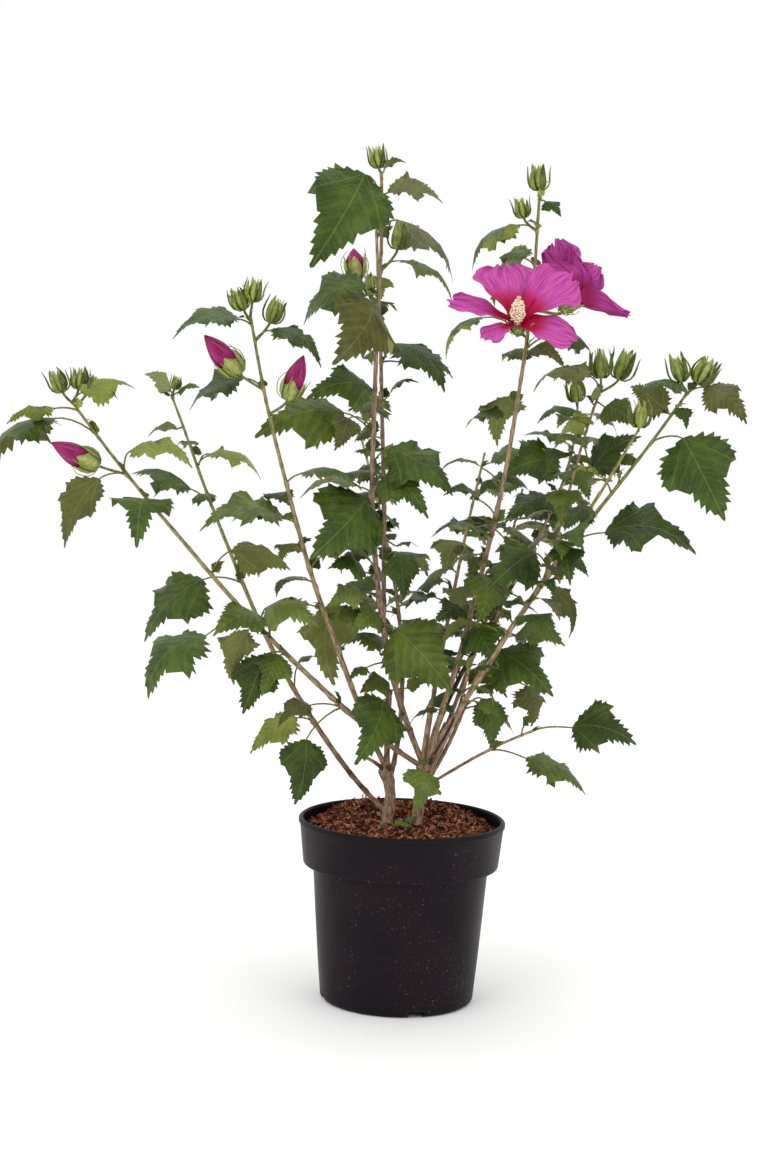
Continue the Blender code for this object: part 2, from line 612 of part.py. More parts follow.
def leaf_shape(root, bearing, plan):
    """A leaf in its place: its points, the faces of its stalk and those of its blade.

    The stalk is three-sided.  Its far end is mitred halfway between the run of the stalk and
    the run of the blade, and the two skins of the blade start from its three corners.
    """
    stalk, lift, length, rise, face = plan
    base = root + heading(bearing, lift) * stalk
    run, along = heading(bearing, lift), heading(bearing, rise)
    width = length * BLADE_WIDTH
    thickness = max(LEAST_BLADE, BLADE_THICKNESS * length)
    place = frame_for(base, along, facing_normal(bearing, rise, face))
    side = place.to_3x3() @ Vector((0.0, 1.0, 0.0))
    points = []
    for centre, way, diameter in ((root, run, STALK_DIAMETERS[0]),
                                  (base, (run + along).normalized(), STALK_DIAMETERS[1])):
        up = way.cross(side).normalized() * diameter * 0.5
        across = side * diameter * 0.5
        points += [centre + p for p in (up, across - up * 0.5, -across - up * 0.5)]
    stalk_faces = [(0, 2, 1)]
    for i in range(3):
        j = (i + 1) % 3
        stalk_faces += [(i, j, 3 + j), (i, 3 + j, 3 + i)]

    def height(x):
        return BLADE_BOW * length * 4 * x * (1 - x)

    local = [(length, 0.0, 0.0)]
    edges = {}
    for sign, corner in ((1, 4), (-1, 5)):
        edges[sign] = [(0.0, corner)]
        for x, y in BLADE_OUTLINE:
            edges[sign].append((x, 6 + len(local)))
            local.append((x * length, sign * y * width, height(x) - BLADE_FOLD * y * width))
        edges[sign].append((1.0, 6))
    blade_faces = []
    for skin, first in ((0.5, 3), (-0.5, 4)):
        middle = [(0.0, first)]
        for x in BLADE_SPINE:
            middle.append((x, 6 + len(local)))
            local.append((x * length, 0.0, height(x) + skin * thickness))
        middle.append((1.0, 6))
        for sign in (1, -1):
            blade_faces += side_strip(middle, edges[sign])
    points += [place @ Vector(p) for p in local]
    return points, stalk_faces, blade_faces


def shape_of(mesh):
    """The points of a mesh in millimetres, and its faces."""
    return [v.co / MM for v in mesh.vertices], [tuple(p.vertices) for p in mesh.polygons]


class Space:
    """What already fills the crown, node by node, so that later leaves keep clear."""

    def __init__(self):
        self.taken = []

    def box(self, points, faces):
        """The lowest and highest corner of the faces."""
        used = [points[i] for face in faces for i in face]
        return [[pick(p[k] for p in used) for k in range(3)] for pick in (min, max)]

    def add(self, node, kind, points, faces):
        """Note a solid that is in its place."""
        tree = BVHTree.FromPolygons(points, faces)
        self.taken.append((node, kind, self.box(points, faces), tree))

    def free(self, points, faces, skip):
        """Say whether the faces meet nothing but the solids that skip names."""
        mine = BVHTree.FromPolygons(points, faces)
        low, high = self.box(points, faces)
        for node, kind, (other_low, other_high), tree in self.taken:
            if skip(node, kind):
                continue
            if any(low[i] > other_high[i] + GAP or high[i] < other_low[i] - GAP for i in range(3)):
                continue
            if mine.overlap(tree):
                return False
        return True


TURNS = ((0, 0), (8, 0), (-8, 0), (0, 8), (0, -8), (16, 0), (-16, 0), (14, 10), (-14, 10),
         (24, -6), (-24, -6), (32, 6), (-32, 6))


def grow_leaf(node, cane, plan, space, pile):
    """Set one leaf on a cane: it is turned a little, or left out, if it meets another."""
    station, bearing, stalk, lift, length, rise, face = plan
    root = cane.at(station * cane.length)
    for turn, tilt in TURNS:
        shape = (stalk, lift, length, rise + tilt, face)
        points, stalk_faces, blade_faces = leaf_shape(root, bearing + turn, shape)
        if not space.free(points, blade_faces, lambda n, k: False):
            continue
        if space.free(points, stalk_faces, lambda n, k: n == node):
            new_object("leaf", mesh_from("leaf", points, stalk_faces + blade_faces), pile)
            space.add(node, "blade", points, blade_faces)
            space.add(node, "stalk", points, stalk_faces)
            return True
    return False


def grow_bud(node, cane, plan, space, pile):
    """Set one bud: a stalk, the calyx, its narrow bracts and, on a pink one, the petals."""
    station, bearing, stalk, lift, length, rise, kind = plan
    root = cane.at(station * cane.length - 1.0)
    base = root + heading(bearing, lift) * stalk
    along = heading(bearing, rise)
    cup = length if kind == "green" else length * 0.5
    width = 0.80 * cup if kind == "green" else 0.88 * cup
    pieces = [spike("stalk", root, base + along * 2.0, (1.5, 1.4), pile, 4)]
    pieces.append(ovoid("calyx", base, along, cup, width, pile))
    if kind == "pink":
        inset = 0.22 * length
        pieces.append(ovoid("furled", base + along * inset, along, length - inset, width * 0.86, pile))
    across = along.orthogonal().normalized()
    for i in range(BRACTS):
        out = Matrix.Rotation(math.radians(360 * i / BRACTS + 20), 3, along) @ across
        start = base + along * 1.5 + out * 0.6
        end = base + along * cup * 0.92 + out * width * 0.78
        pieces.append(spike("bract", start, end, (0.9, 0.45), pile))
    for piece in pieces:
        space.add(node, "bud", *shape_of(piece.data))


def grow_flower(node, cane, plan, space, pile):
    """Set one open flower: stalk, calyx, five petals round the axis, and the column."""
    station, place, bearing, rise, tips = plan
    root = cane.at(station * cane.length)
    base = Vector(place)
    axis = heading(bearing, rise)
    pieces = [spike("stalk", root, base + axis * 3.0, (1.7, 1.5), pile, 4)]
    pieces.append(ovoid("calyx", base, axis, 20.0, 16.0, pile))
    tip = base + axis * (12.0 + COLUMN_LENGTH)
    pieces.append(spike("column", base + axis * 8.0, tip, (2.5, COLUMN_DIAMETER * 0.4), pile, 6))
    for reach in tips:
        reach = Vector(reach)
        size, along = reach.length, reach.normalized()
        inner = (axis - along * along.dot(axis)).normalized()
        verts, faces = lens(size, size * PETAL_WIDTH, PETAL_OUTLINE, PETAL_SPINE,
                            PETAL_BOW, PETAL_CUP, PETAL_THICKNESS)
        place = frame_for(base + axis * 11.0, along, inner)
        petal = mesh_from("petal", [place @ Vector(v) for v in verts], faces)
        pieces.append(new_object("petal", petal, pile))
    for piece in pieces:
        space.add(node, "bud", *shape_of(piece.data))


# --- joining -------------------------------------------------------------------------------

def keep_one_body(mesh):
    """Fill sealed hollows and drop loose scraps: only the largest closed shell stays."""
    shape = bmesh.new()
    shape.from_mesh(mesh)
    bmesh.ops.triangulate(shape, faces=shape.faces)
    bmesh.ops.remove_doubles(shape, verts=shape.verts, dist=2e-6)
    bmesh.ops.dissolve_degenerate(shape, edges=shape.edges, dist=2e-6)
    shells = []
    left = set(shape.faces)
    while left:
        shell = {left.pop()}
        edge_of_search = list(shell)
        while edge_of_search:
            face = edge_of_search.pop()
            for edge in face.edges:
                for other in edge.link_faces:
                    if other in left:
                        left.discard(other)
                        shell.add(other)
                        edge_of_search.append(other)
        shells.append(shell)

    def volume(shell):
        total = 0.0
        for face in shell:
            a, b, c = (v.co for v in face.verts[:3])
            total += a.dot(b.cross(c)) / 6.0
        return total

    shells.sort(key=volume, reverse=True)
    for shell in shells[1:]:
        bmesh.ops.delete(shape, geom=list(shell), context="FACES")
    shape.to_mesh(mesh)
    shape.free()
    return len(shells)


def fuse(thing, pile):
    """Join a pile of solids to a body by one union, apply it and remove the pile."""
    for solver in ("MANIFOLD", "EXACT"):
        union = thing.modifiers.new("fuse", "BOOLEAN")
        union.operation = "UNION"
        union.operand_type = "COLLECTION"
        union.collection = pile
        union.solver = solver
        graph = bpy.context.evaluated_depsgraph_get()
        joined = bpy.data.meshes.new_from_object(thing.evaluated_get(graph))
        thing.modifiers.remove(union)
        keep_one_body(joined)
        if is_closed(joined):
            break
    thing.data = joined
    for piece in list(pile.objects):
        bpy.data.objects.remove(piece, do_unlink=True)


def is_closed(mesh):
    """Say whether every edge of a mesh lies between exactly two faces."""
    shape = bmesh.new()
    shape.from_mesh(mesh)
    closed = all(len(edge.link_faces) == 2 for edge in shape.edges)
    shape.free()
    return closed and len(mesh.polygons) > 4


# --- the whole shrub -----------------------------------------------------------------------

def limb_parts(name, plan, cane):
    """The stretches of a cane after its socket: (node name, is leafy, first, last)."""
    breaks = [b * cane.length for b in plan["breaks"]]
    stretches = []
    starts = breaks + [cane.length + GAP * 0.5]
    leafy = len(breaks) == 1
    count = {True: 0, False: 0}
    for first, last in zip(starts, starts[1:]):
        count[leafy] += 1
        suffix = f"_{count[leafy]}" if len(breaks) > 2 else ""
        node = ("leaves_" if leafy else "bough_") + name + suffix
        stretches.append((node, leafy, first + GAP * 0.5, last - GAP * 0.5))
        leafy = not leafy
    return stretches


def build_stump(name, plan, canes, pile, parts):
    """A stump with the sockets of its canes fused to its head."""
    stump = tube(name, plan["axis"], [d * 0.5 for d in plan["diameters"]], parts,
                 make_material("stump_wood"), 2)
    for cane_name, cane_plan in CANES.items():
        if cane_plan["from"] != name or not cane_plan["breaks"][0]:
            continue
        cane = canes[cane_name]
        last = cane_plan["breaks"][0] * cane.length - GAP * 0.5
        points, radii = cane.stretch(0.0, last)
        tube("socket", points, radii, pile)
    fuse(stump, pile)
    return stump


def fill_plans(name, cane, rng):
    """The leaves that a cane carries by rule: alternate nodes, turned round the stem."""
    plans = []
    for first, last, spacing, middle, spread, length in FILLS.get(name, ()):
        count = max(1, round((last - first) * cane.length / spacing))
        for i in range(count):
            station = first + (last - first) * (i + 0.5) / count
            swing = ((i * 0.618 + 0.31 * len(plans)) % 1.0) * 2 - 1
            size = length * rng.uniform(0.75, 1.15) * (1.1 - 0.3 * station)
            plans.append((station, middle + spread * swing, rng.uniform(12, 26), rng.uniform(5, 45),
                          size, rng.uniform(-45, 5), rng.uniform(-20, 35)))
    return plans


def main():
    """Build every node of the shrub."""
    clear_scene()
    parts = make_collection("hibiscus_shrub")
    cutters = make_collection("cutters")
    pile = make_collection("pile")
    rng = random.Random(SEED)
    build_pot(parts, cutters)
    build_mix(parts)

    canes = {name: Cane(plan) for name, plan in CANES.items()}
    space = Space()
    for name, plan in STUMPS.items():
        space.add(name, "limb", *shape_of(build_stump(name, plan, canes, pile, parts).data))

    wood = make_material("cane_wood")
    leaf = make_material("leaf_green")
    stems = {}
    homes = {}
    for name, plan in CANES.items():
        cane = canes[name]
        if plan["breaks"]:
            stretches = limb_parts(name, plan, cane)
        else:
            stretches = [(homes[plan["from"]][-1][0], True, 0.0, cane.length)]
        homes[name] = stretches
        for node, leafy, first, last in stretches:
            points, radii = cane.stretch(first, last)
            limb = tube(node, points, radii, parts, leaf if leafy else wood)
            space.add(node, "limb", *shape_of(limb.data))
            if leafy:
                stems.setdefault(node, []).append(limb)

    piles = {node: make_collection("pile_" + node) for node in stems}

    def home_of(name, station):
        """The leafy node of a cane that holds a station."""
        for node, leafy, first, last in homes[name]:
            if leafy and first - 2 <= station * canes[name].length <= last + 2:
                return node
        return None

    missed = []
    for table, grow in ((BUDS, grow_bud), (FLOWERS, grow_flower)):
        for name, plans in table.items():
            for plan in plans:
                grow(home_of(name, plan[0]), canes[name], plan, space, piles[home_of(name, plan[0])])
    for name, plans in LEAVES.items():
        for plan in plans:
            node = home_of(name, plan[0])
            if not grow_leaf(node, canes[name], plan, space, piles[node]):
                missed.append((name, plan[0]))
    for name in FILLS:
        for plan in fill_plans(name, canes[name], rng):
            node = home_of(name, plan[0])
            if node and not grow_leaf(node, canes[name], plan, space, piles[node]):
                missed.append((name, round(plan[0], 2)))
    print("leaves left out", missed)

    for node, limbs in stems.items():
        for branch in limbs[1:]:
            parts.objects.unlink(branch)
            piles[node].objects.link(branch)
        fuse(limbs[0], piles[node])
        limbs[0].name = node
        bpy.data.collections.remove(piles[node])
    bpy.data.collections.remove(pile)


main()
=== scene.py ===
"""The looks of a hibiscus shrub in its nursery pot: bark, leaves, buds, blossom, mulch and pot.

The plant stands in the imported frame: the origin is on the floor at the middle of the pot, +Z is
up and the shrub is seen from -Y.  Shapes are worked out in millimetres with numpy, as whole grids
of points, and every leaf, bud and flower grows from its cane by the same rule as the solids do.
"""
import random

import bpy
import numpy as np
from mathutils import Matrix, Vector
from mathutils.kdtree import KDTree


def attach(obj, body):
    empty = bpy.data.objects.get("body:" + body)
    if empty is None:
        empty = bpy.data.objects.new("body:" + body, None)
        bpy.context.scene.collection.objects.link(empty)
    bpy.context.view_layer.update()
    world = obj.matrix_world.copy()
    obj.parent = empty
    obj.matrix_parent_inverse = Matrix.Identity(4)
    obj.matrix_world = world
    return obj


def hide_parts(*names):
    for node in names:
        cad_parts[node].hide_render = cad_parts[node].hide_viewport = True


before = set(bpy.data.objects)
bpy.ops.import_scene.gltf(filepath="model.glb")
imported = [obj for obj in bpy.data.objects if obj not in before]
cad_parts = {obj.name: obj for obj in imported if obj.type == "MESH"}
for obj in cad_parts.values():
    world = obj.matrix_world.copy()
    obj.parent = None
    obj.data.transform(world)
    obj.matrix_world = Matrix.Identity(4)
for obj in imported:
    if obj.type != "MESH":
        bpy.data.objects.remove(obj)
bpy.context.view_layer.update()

MM = 0.001
SEED = 26
UP = np.array([0.0, 0.0, 1.0])

# The pot: radii and heights of its turned wall.
RIM_RADIUS = 112.5
RIM_HEIGHT = 199.0
COLLAR_HEIGHT = 149.4
COLLAR_RADIUS = 106.4
BODY_RADIUS = 95.5
FOOT_RADIUS = 84.0
FOOT_ROUND = 6.0
WALL = 1.8
FLOOR_RISE = 7.0     # how far the ring channel of the floor stands off the ground
FLOOR_MIDDLE = 58.0
CHANNEL_OUTER = 76.0
NOTCHES = 4
NOTCH_BEARING = -75.0
NOTCH_WIDTH = 18.0
NOTCH_HEIGHT = 6.0
POT_STEP = 2.5       # degrees between the pot's columns of points
CRISP_ANGLE = 50.0   # edges of the pot that turn by more than this stay sharp

# The potting mix: a flat middle where the stumps stand, falling to the wall.
MIX_LEVEL = 190.0
MIX_EDGE_LEVEL = 186.0
MIX_FLAT_RADIUS = 55.0
MIX_SLOPE = 45.0
MIX_RADIUS = COLLAR_RADIUS - WALL + 1.6
MIX_UNDERSIDE = COLLAR_HEIGHT + 6
# Heaps and one hollow on it: height, middle, and half the width along X and Y.
HEAPS = ((9.0, 42, 66, 38, 44), (9.5, -48, 76, 48, 36), (5.5, 0, 96, 75, 24), (-5.0, 92, 2, 16, 34))
CHIPS = 7500
SHORTEST_CHIP, CHIP_SPREAD = 2.0, 11.0
CHIP_WIDTHS = (0.06, 0.36)     # least and most, as shares of the length
CHIP_HEIGHTS = (0.4, 1.0)

# The stumps: points on the axis, the diameters there, and the knots, each with its height and
# bearing, how far it stands out and how tall it is.
STUMPS = {
    "stump_left": (
        ((-16, -2, 190.3), (-16, -2, 196), (-13, -2, 225), (-19, -2, 252), (-20, -3, 262)),
        (21, 15.5, 14, 16.5, 11),
        ((256, -60, 3.2, 5), (251, 150, 2.6, 5), (240, 20, 1.6, 6), (222, -120, 1.4, 7),
         (205, 200, 1.2, 6), (212, -40, 1.0, 9), (246, -140, 1.8, 4))),
    "stump_right": (
        ((16, -3, 190.3), (16, -3, 196), (18, -3, 222), (22, -3, 246), (23, -3, 266)),
        (22, 16, 14.5, 19, 13),
        ((252, -80, 3.6, 6), (258, 160, 3.0, 5), (244, 10, 3.0, 6), (235, -140, 1.8, 7),
         (214, -70, 1.4, 8), (262, 40, 2.4, 4), (205, 60, 1.6, 6))),
}
STUMP_FOOT = 182.0   # where the stumps start, a little under the top of the mix
STUMP_AGE = 0.80     # their bark is light and corky, and darker where it is knotted
STUMP_SHARE = 0.385  # the bark's radius as a share of the solid stump's diameter
STUMP_RINGS, STUMP_COLUMNS = 70, 36
ROOT_FLARE, FLARE_HEIGHT = 1.2, 7.0

# Old pruned spurs: the points of each, its diameters at foot and cut, and its age.
SPURS = (
    (((20, -4, 262), (24, -7, 300), (27, -9, 332)), (6.5, 4.0), 0.75),
    (((24, -6, 258), (33, -12, 290), (39, -16, 318)), (5.5, 3.6), 0.8),
    (((-19, -4, 250), (-30, -9, 262), (-40, -12, 266)), (5.0, 3.4), 1.0),
    (((26, -2, 262), (34, 4, 285), (44, 8, 305)), (5.0, 3.2), 0.7),
)

# Each cane: its diameters at the foot and the tip, and the four handles of its curve.
CANES = {
    "far_left": (9.0, 3.6, (19, -5, 258), (-112, -66, 345), (-261, -72, 518), (-355, -100, 642)),
    "left": (9.0, 3.4, (-18, 2, 205), (-145, 50, 315), (-205, 95, 485), (-275, 140, 645)),
    "inner_left": (9.0, 3.6, (-20, -3, 255), (-97, -30, 418), (-143, -81, 577), (-173, -120, 736)),
    "upright": (8.5, 7.5, (-19, -3, 258), (-19, 6, 285), (-19, 4, 315), (-19, 0, 340)),
    "centre": (10.0, 4.2, (20, -4, 262), (-76, -10, 464), (-34, -36, 690), (-45, -50, 890)),
    "centre_twin": (7.5, 4.0, (-27, -14, 410), (-30, 15, 560), (-40, 45, 705), (-50, 80, 850)),
    "flower": (9.0, 3.8, (22, -3, 262), (86, -10, 470), (118, -48, 670), (119, -72, 871)),
    "right_inner": (8.0, 3.2, (24, 2, 262), (60, 80, 395), (185, 105, 510), (185, 150, 655)),
    "right_fork": (8.5, 3.2, (22, -8, 258), (82, -80, 386), (168, -83, 516), (226, -120, 633)),
    "right_mid": (5.0, 3.2, (136, -83, 465), (165, -5, 535), (175, 30, 605), (205, 70, 675)),
    "right_outer": (9.0, 3.8, (26, -3, 246), (85, -10, 405), (200, 5, 533), (291, 10, 671)),
    "right_low": (7.0, 4.0, (28, 3, 244), (50, 22, 275), (60, 30, 305), (72, 40, 340)),
    "low_right": (5.0, 3.4, (24, -6, 236), (60, -25, 265), (95, -45, 290), (135, -60, 310)),
    "front": (5.0, 3.0, (23, -8, 256), (47, -42, 305), (58, -100, 340), (60, -158, 385)),
    "back_left": (8.5, 3.4, (-16, -1, 236), (15, 70, 350), (-20, 150, 480), (-60, 230, 600)),
    "back": (8.0, 3.4, (20, 0, 250), (35, 80, 370), (60, 160, 480), (85, 235, 590)),
    "back_right": (7.5, 3.4, (25, 1, 244), (60, 70, 330), (105, 140, 430), (130, 215, 550)),
    "foot": (2.6, 2.2, (21, -13.4, 256), (21, -15, 258), (21, -17, 259), (21, -19, 260)),
}
SLIMMER = 0.74       # the bark's radius as a share of the solid cane's
CANE_STEP = 3.2      # millimetres between the rings of points along a cane
SCAR_HEIGHT = 2.6    # half the height of the swelling at a leaf scar
SCAR_STEP, SCAR_TURN = 0.045, 137.5     # leafless scars: share of the cane and turn between them

# How woody a cane is at these heights: 0 is green, 1 is tan bark.
AGE_HEIGHTS = (250, 420, 640, 820)
USUAL_AGES = (0.95, 0.6, 0.3, 0.1)
AGES = {
    "centre": (0.95, 0.85, 0.75, 0.5),
    "centre_twin": (0.9, 0.8, 0.7, 0.55),
    "flower": (0.95, 0.75, 0.6, 0.3),
    "upright": (0.95, 0.9, 0.9, 0.9),
    "right_outer": (0.9, 0.4, 0.15, 0.1),
    "right_mid": (1.25, 1.05, 0.7, 0.4),
    "right_inner": (1.15, 1.0, 0.7, 0.4),
    "front": (1.1, 0.9, 0.7, 0.5),
    "far_left": (0.95, 0.5, 0.2, 0.1),
    "left": (0.95, 0.4, 0.15, 0.1),
}

# The leaves that draw the crown's outline, cane by cane: station (a share of the cane's
# length), bearing, length and lift of the leaf stalk, length and rise of the blade, and how
# far the blade's upper side is turned from the sky towards -Y.
LEAVES = {
    "far_left": ((0.2, -150, 45, 10, 45, -30, 30), (0.21, -135, 60, -30, 70, -80, 60),
        (0.35, -130, 20, 20, 50, -55, 40), (0.37, -140, 25, -5, 65, -70, 60),
        (0.41, -150, 25, 65, 65, -15, 22), (0.42, -145, 25, 15, 60, -75, -70),
        (0.44, -60, 24, 70, 66, -20, 35), (0.47, -170, 50, -25, 90, -50, 18),
        (0.58, -10, 35, 50, 65, -15, -40), (0.77, -90, 15, 0, 84, -32, 0),
        (0.83, -160, 30, -10, 80, -65, -60), (0.84, 20, 20, 75, 70, -15, -20),
        (0.92, 170, 50, 20, 95, -40, 10), (0.98, -170, 24, 5, 52, -20, -15),
        (1.0, -15, 15, 45, 60, 5, -25)),
    "left": ((0.24, -165, 20, 15, 65, -40, -60), (0.32, 30, 30, 80, 25, 10, 0),
        (0.57, -170, 45, 5, 95, -50, 45), (0.75, 170, 30, 35, 75, 10, 0),
        (0.84, -15, 15, 50, 70, -20, -10), (0.93, -155, 8, -15, 35, -15, -25),
        (1.0, -160, 8, 80, 35, 35, -40), (1.0, -30, 10, 40, 30, 10, 30),
        (1.0, 35, 16, 60, 28, 35, -40)),
    "inner_left": ((0.27, 10, 30, 40, 35, -45, 20), (0.36, -170, 20, 30, 55, -15, -30),
        (0.46, 20, 20, 50, 55, -5, -20), (0.56, -170, 15, 25, 90, -10, 20),
        (0.57, 160, 25, 5, 50, -10, 10), (0.65, -15, 20, 35, 60, -10, -10),
        (0.85, 160, 25, 25, 70, -30, 35), (0.95, -10, 20, 35, 65, -35, 20),
        (0.98, -170, 15, 25, 70, -20, 25)),
    "upright": ((0.85, -145, 12, 10, 85, -40, 55), (0.97, -155, 12, 80, 35, -20, 40),
        (0.97, -15, 20, 15, 25, 15, -50)),
    "centre": ((0.18, -155, 30, -5, 25, -35, 20), (0.2, -25, 12, -15, 50, -35, 45),
        (0.25, -40, 15, -20, 95, -40, 60), (0.26, -125, 12, 35, 50, -20, 50),
        (0.29, -155, 25, 25, 45, -20, 35), (0.3, -140, 50, -10, 90, -85, -70),
        (0.33, -160, 15, 20, 45, 5, 35), (0.45, -135, 12, 40, 100, -40, 60),
        (0.47, -160, 15, 30, 70, -10, 15), (0.48, -30, 20, 45, 70, -35, 45),
        (0.52, -15, 25, 45, 85, -35, 40), (0.57, -165, 40, 35, 100, -15, 35),
        (0.58, -135, 45, 15, 40, -60, 50), (0.63, -155, 12, 70, 75, -10, 40),
        (0.79, -130, 10, -10, 90, -45, 70), (0.8, -165, 20, 35, 80, -40, 55),
        (0.84, -10, 20, 35, 75, -35, 0), (0.95, -155, 35, 55, 115, -60, 75),
        (0.96, -15, 8, 35, 60, -10, -15), (0.99, -10, 8, 75, 25, 20, 0)),
    "centre_twin": ((0.04, -15, 8, 55, 45, 20, -10), (0.16, -65, 40, 15, 50, -70, 20),
        (0.21, -15, 15, -25, 25, 0, 0), (0.54, 0, 12, 50, 35, 25, 0), (0.64, 15, 20, 5, 65, -15, 0),
        (0.67, -15, 20, 25, 80, -50, 10), (0.95, 15, 30, 45, 95, -45, 25)),
    "flower": ((0.25, -60, 12, 20, 60, -40, 50), (0.28, -140, 12, 10, 45, -15, 40),
        (0.36, -100, 15, -25, 65, -50, 40), (0.38, -155, 8, 15, 40, -25, -20),
        (0.41, -160, 8, 15, 60, 0, 15), (0.42, -155, 12, 70, 30, 10, -10),
        (0.43, -25, 15, -35, 40, -35, -40), (0.44, -15, 35, 10, 35, 10, 0),
        (0.45, -170, 25, 45, 40, 5, 10), (0.5, 180, 30, 45, 45, -5, 0),
        (0.51, -155, 15, 15, 20, -55, 20), (0.63, 150, 15, -15, 45, -15, 20),
        (0.65, 125, 24, 15, 62, -72, 0), (0.72, -30, 15, 60, 45, -25, 40),
        (0.74, 30, 40, 25, 55, -25, 40), (0.76, 175, 50, 25, 60, -50, 10),
        (0.8, 100, 78, 38, 88, -8, 60), (0.94, -165, 20, 15, 70, -45, -25),
        (0.99, -40, 8, -10, 25, -40, 30)),
    "right_inner": ((0.76, -155, 12, -20, 65, -30, 35), (0.82, -50, 12, 20, 45, -50, 30),
        (0.86, -150, 15, -15, 70, -20, 50), (0.88, -170, 15, 30, 45, 5, 20),
        (0.96, -160, 8, 80, 50, -20, 20)),
    "right_mid": ((0.1, -145, 25, 45, 70, -30, 50), (0.12, -45, 12, 60, 45, -25, 30),
        (0.72, -20, 30, -65, 65, 35, 60), (0.9, -160, 15, -70, 45, -35, -50),
        (0.92, -35, 12, -25, 45, -25, 45), (0.97, -160, 20, 55, 70, -15, -25)),
    "right_fork": ((0.66, -85, 15, 20, 50, -45, 10), (0.82, -150, 15, -50, 40, -40, 30),
        (0.86, -155, 15, 25, 15, 35, 0)),
    "right_outer": ((0.25, -20, 8, 10, 30, 5, -60), (0.29, -30, 15, 45, 80, -30, 50),
        (0.34, -15, 15, 25, 55, -10, 20), (0.49, -45, 10, -25, 60, -60, -60),
        (0.6, -10, 35, 20, 100, -10, 30), (0.75, -50, 8, 70, 15, 60, 20),
        (0.87, -20, 35, 10, 100, -60, 75), (0.94, -160, 8, 40, 50, 30, -60),
        (0.95, -35, 8, 35, 25, -65, 40), (1.0, -175, 15, 40, 65, -20, 15),
        (1.0, -20, 20, 20, 60, -40, 45)),
    "right_low": ((0.77, -40, 30, 30, 55, -75, 30), (0.95, -15, 65, 10, 45, -80, 40),
        (1.0, -25, 8, 0, 22, -10, 20)),
    "low_right": ((0.62, -5, 40, -10, 75, -30, 20), (0.9, 0, 10, 80, 18, 45, 20),
        (0.98, -15, 45, 10, 70, -10, 50)),
    "front": ((0.92, -30, 8, 75, 35, 5, 0), (1.0, -55, 6, 55, 18, 50, 30),
        (1.0, 155, 6, 70, 15, 15, 10)),
    "foot": ((0.9, -100, 10, -10, 55, -50, 30),),
}

# Stretches of cane that carry leaves by rule, on the sides away from the outline: first and
# last station, spacing, middle bearing, spread either side of it, and blade length.
FILLS = {
    "centre": ((0.2, 0.62, 34, 90, 50, 55),),
    "centre_twin": ((0.1, 0.9, 46, 90, 45, 52),),
    "flower": ((0.24, 0.5, 30, 60, 60, 52), (0.68, 0.92, 45, 95, 40, 48)),
    "right_inner": ((0.34, 0.97, 24, 60, 110, 56),),
    "right_mid": ((0.2, 0.85, 26, -140, 70, 52),),
    "right_fork": ((0.38, 0.74, 24, -120, 80, 56),),
    "right_outer": ((0.26, 0.5, 24, 120, 80, 52), (0.62, 0.84, 40, 115, 35, 45)),
    "right_low": ((0.7, 0.95, 14, 90, 90, 50),),
    "front": ((0.45, 0.85, 26, -90, 80, 42),),
    "back_left": ((0.28, 0.98, 24, 110, 120, 62),),
    "back": ((0.28, 0.98, 24, 90, 130, 62),),
    "back_right": ((0.32, 0.98, 24, 60, 120, 62),),
    "inner_left": ((0.3, 0.64, 48, 95, 45, 50),),
    "left": ((0.58, 0.92, 60, 80, 40, 45),),
}

# Turns of bearing and rise, one of which a leaf has taken to stay clear of its neighbours.
TURNS = ((0, 0), (8, 0), (-8, 0), (0, 8), (0, -8), (16, 0), (-16, 0), (14, 10), (-14, 10),
         (24, -6), (-24, -6), (32, 6), (-32, 6))

# Small weeds on the mix between the stumps: foot, bearing, and stalk, lift, length, rise, face.
SEEDLINGS = (((-12, -19, 190), -170, (3, 55, 15, 5, 45)),
             ((-12, -20, 190), -8, (3, 50, 21, 12, 50)), ((-9, -16, 190), 15, (16, 30, 13, 25, 20)))

# Half a blade, in lengths of the blade: its margin without teeth, and how its midrib is spaced.
MARGIN_T = (0, 0.08, 0.20, 0.36, 0.535, 0.62, 0.74, 0.87, 0.95, 1)
MARGIN_X = (0, 0.03, 0.13, 0.30, 0.50, 0.60, 0.72, 0.85, 0.94, 1)
MARGIN_Y = (0.012, 0.13, 0.30, 0.40, 0.42, 0.32, 0.22, 0.105, 0.035, 0.003)
SPINE_T = (0, 0.36, 0.535, 0.62, 0.74, 0.87, 1)
SPINE_X = (0, 0.10, 0.30, 0.44, 0.60, 0.78, 1)
SKIN = 0.20          # half the thickness of a blade, in millimetres
TOOTH_OUT, TOOTH_AHEAD, NOTCH_IN = 0.024, 0.012, 0.018
BLADE_BOW = 0.20     # how high a blade arches, as a share of its length
BIG_LEAF = 36.0      # blades longer than this have the more teeth
MANY_TEETH, FEW_TEETH = 14, 8
# Ruffles of a blade: strength, radians to a length of the blade, times that the leaf's own
# phase is added, and radians by which one half of the blade is shifted against the other.
LEAF_RUFFLES = ((1.0, 17, 1, 2.1), (0.5, 39, 3, 1.0))
# Veins in lengths of the blade: the step between side veins, half the widths of the midrib and
# of the veins to the lobes, and the cells of the net to a length.
VEIN_STEP = 0.14
MIDRIB_HALF, LOBE_VEIN_HALF = 0.007, 0.005
NET_CELLS = 26.0
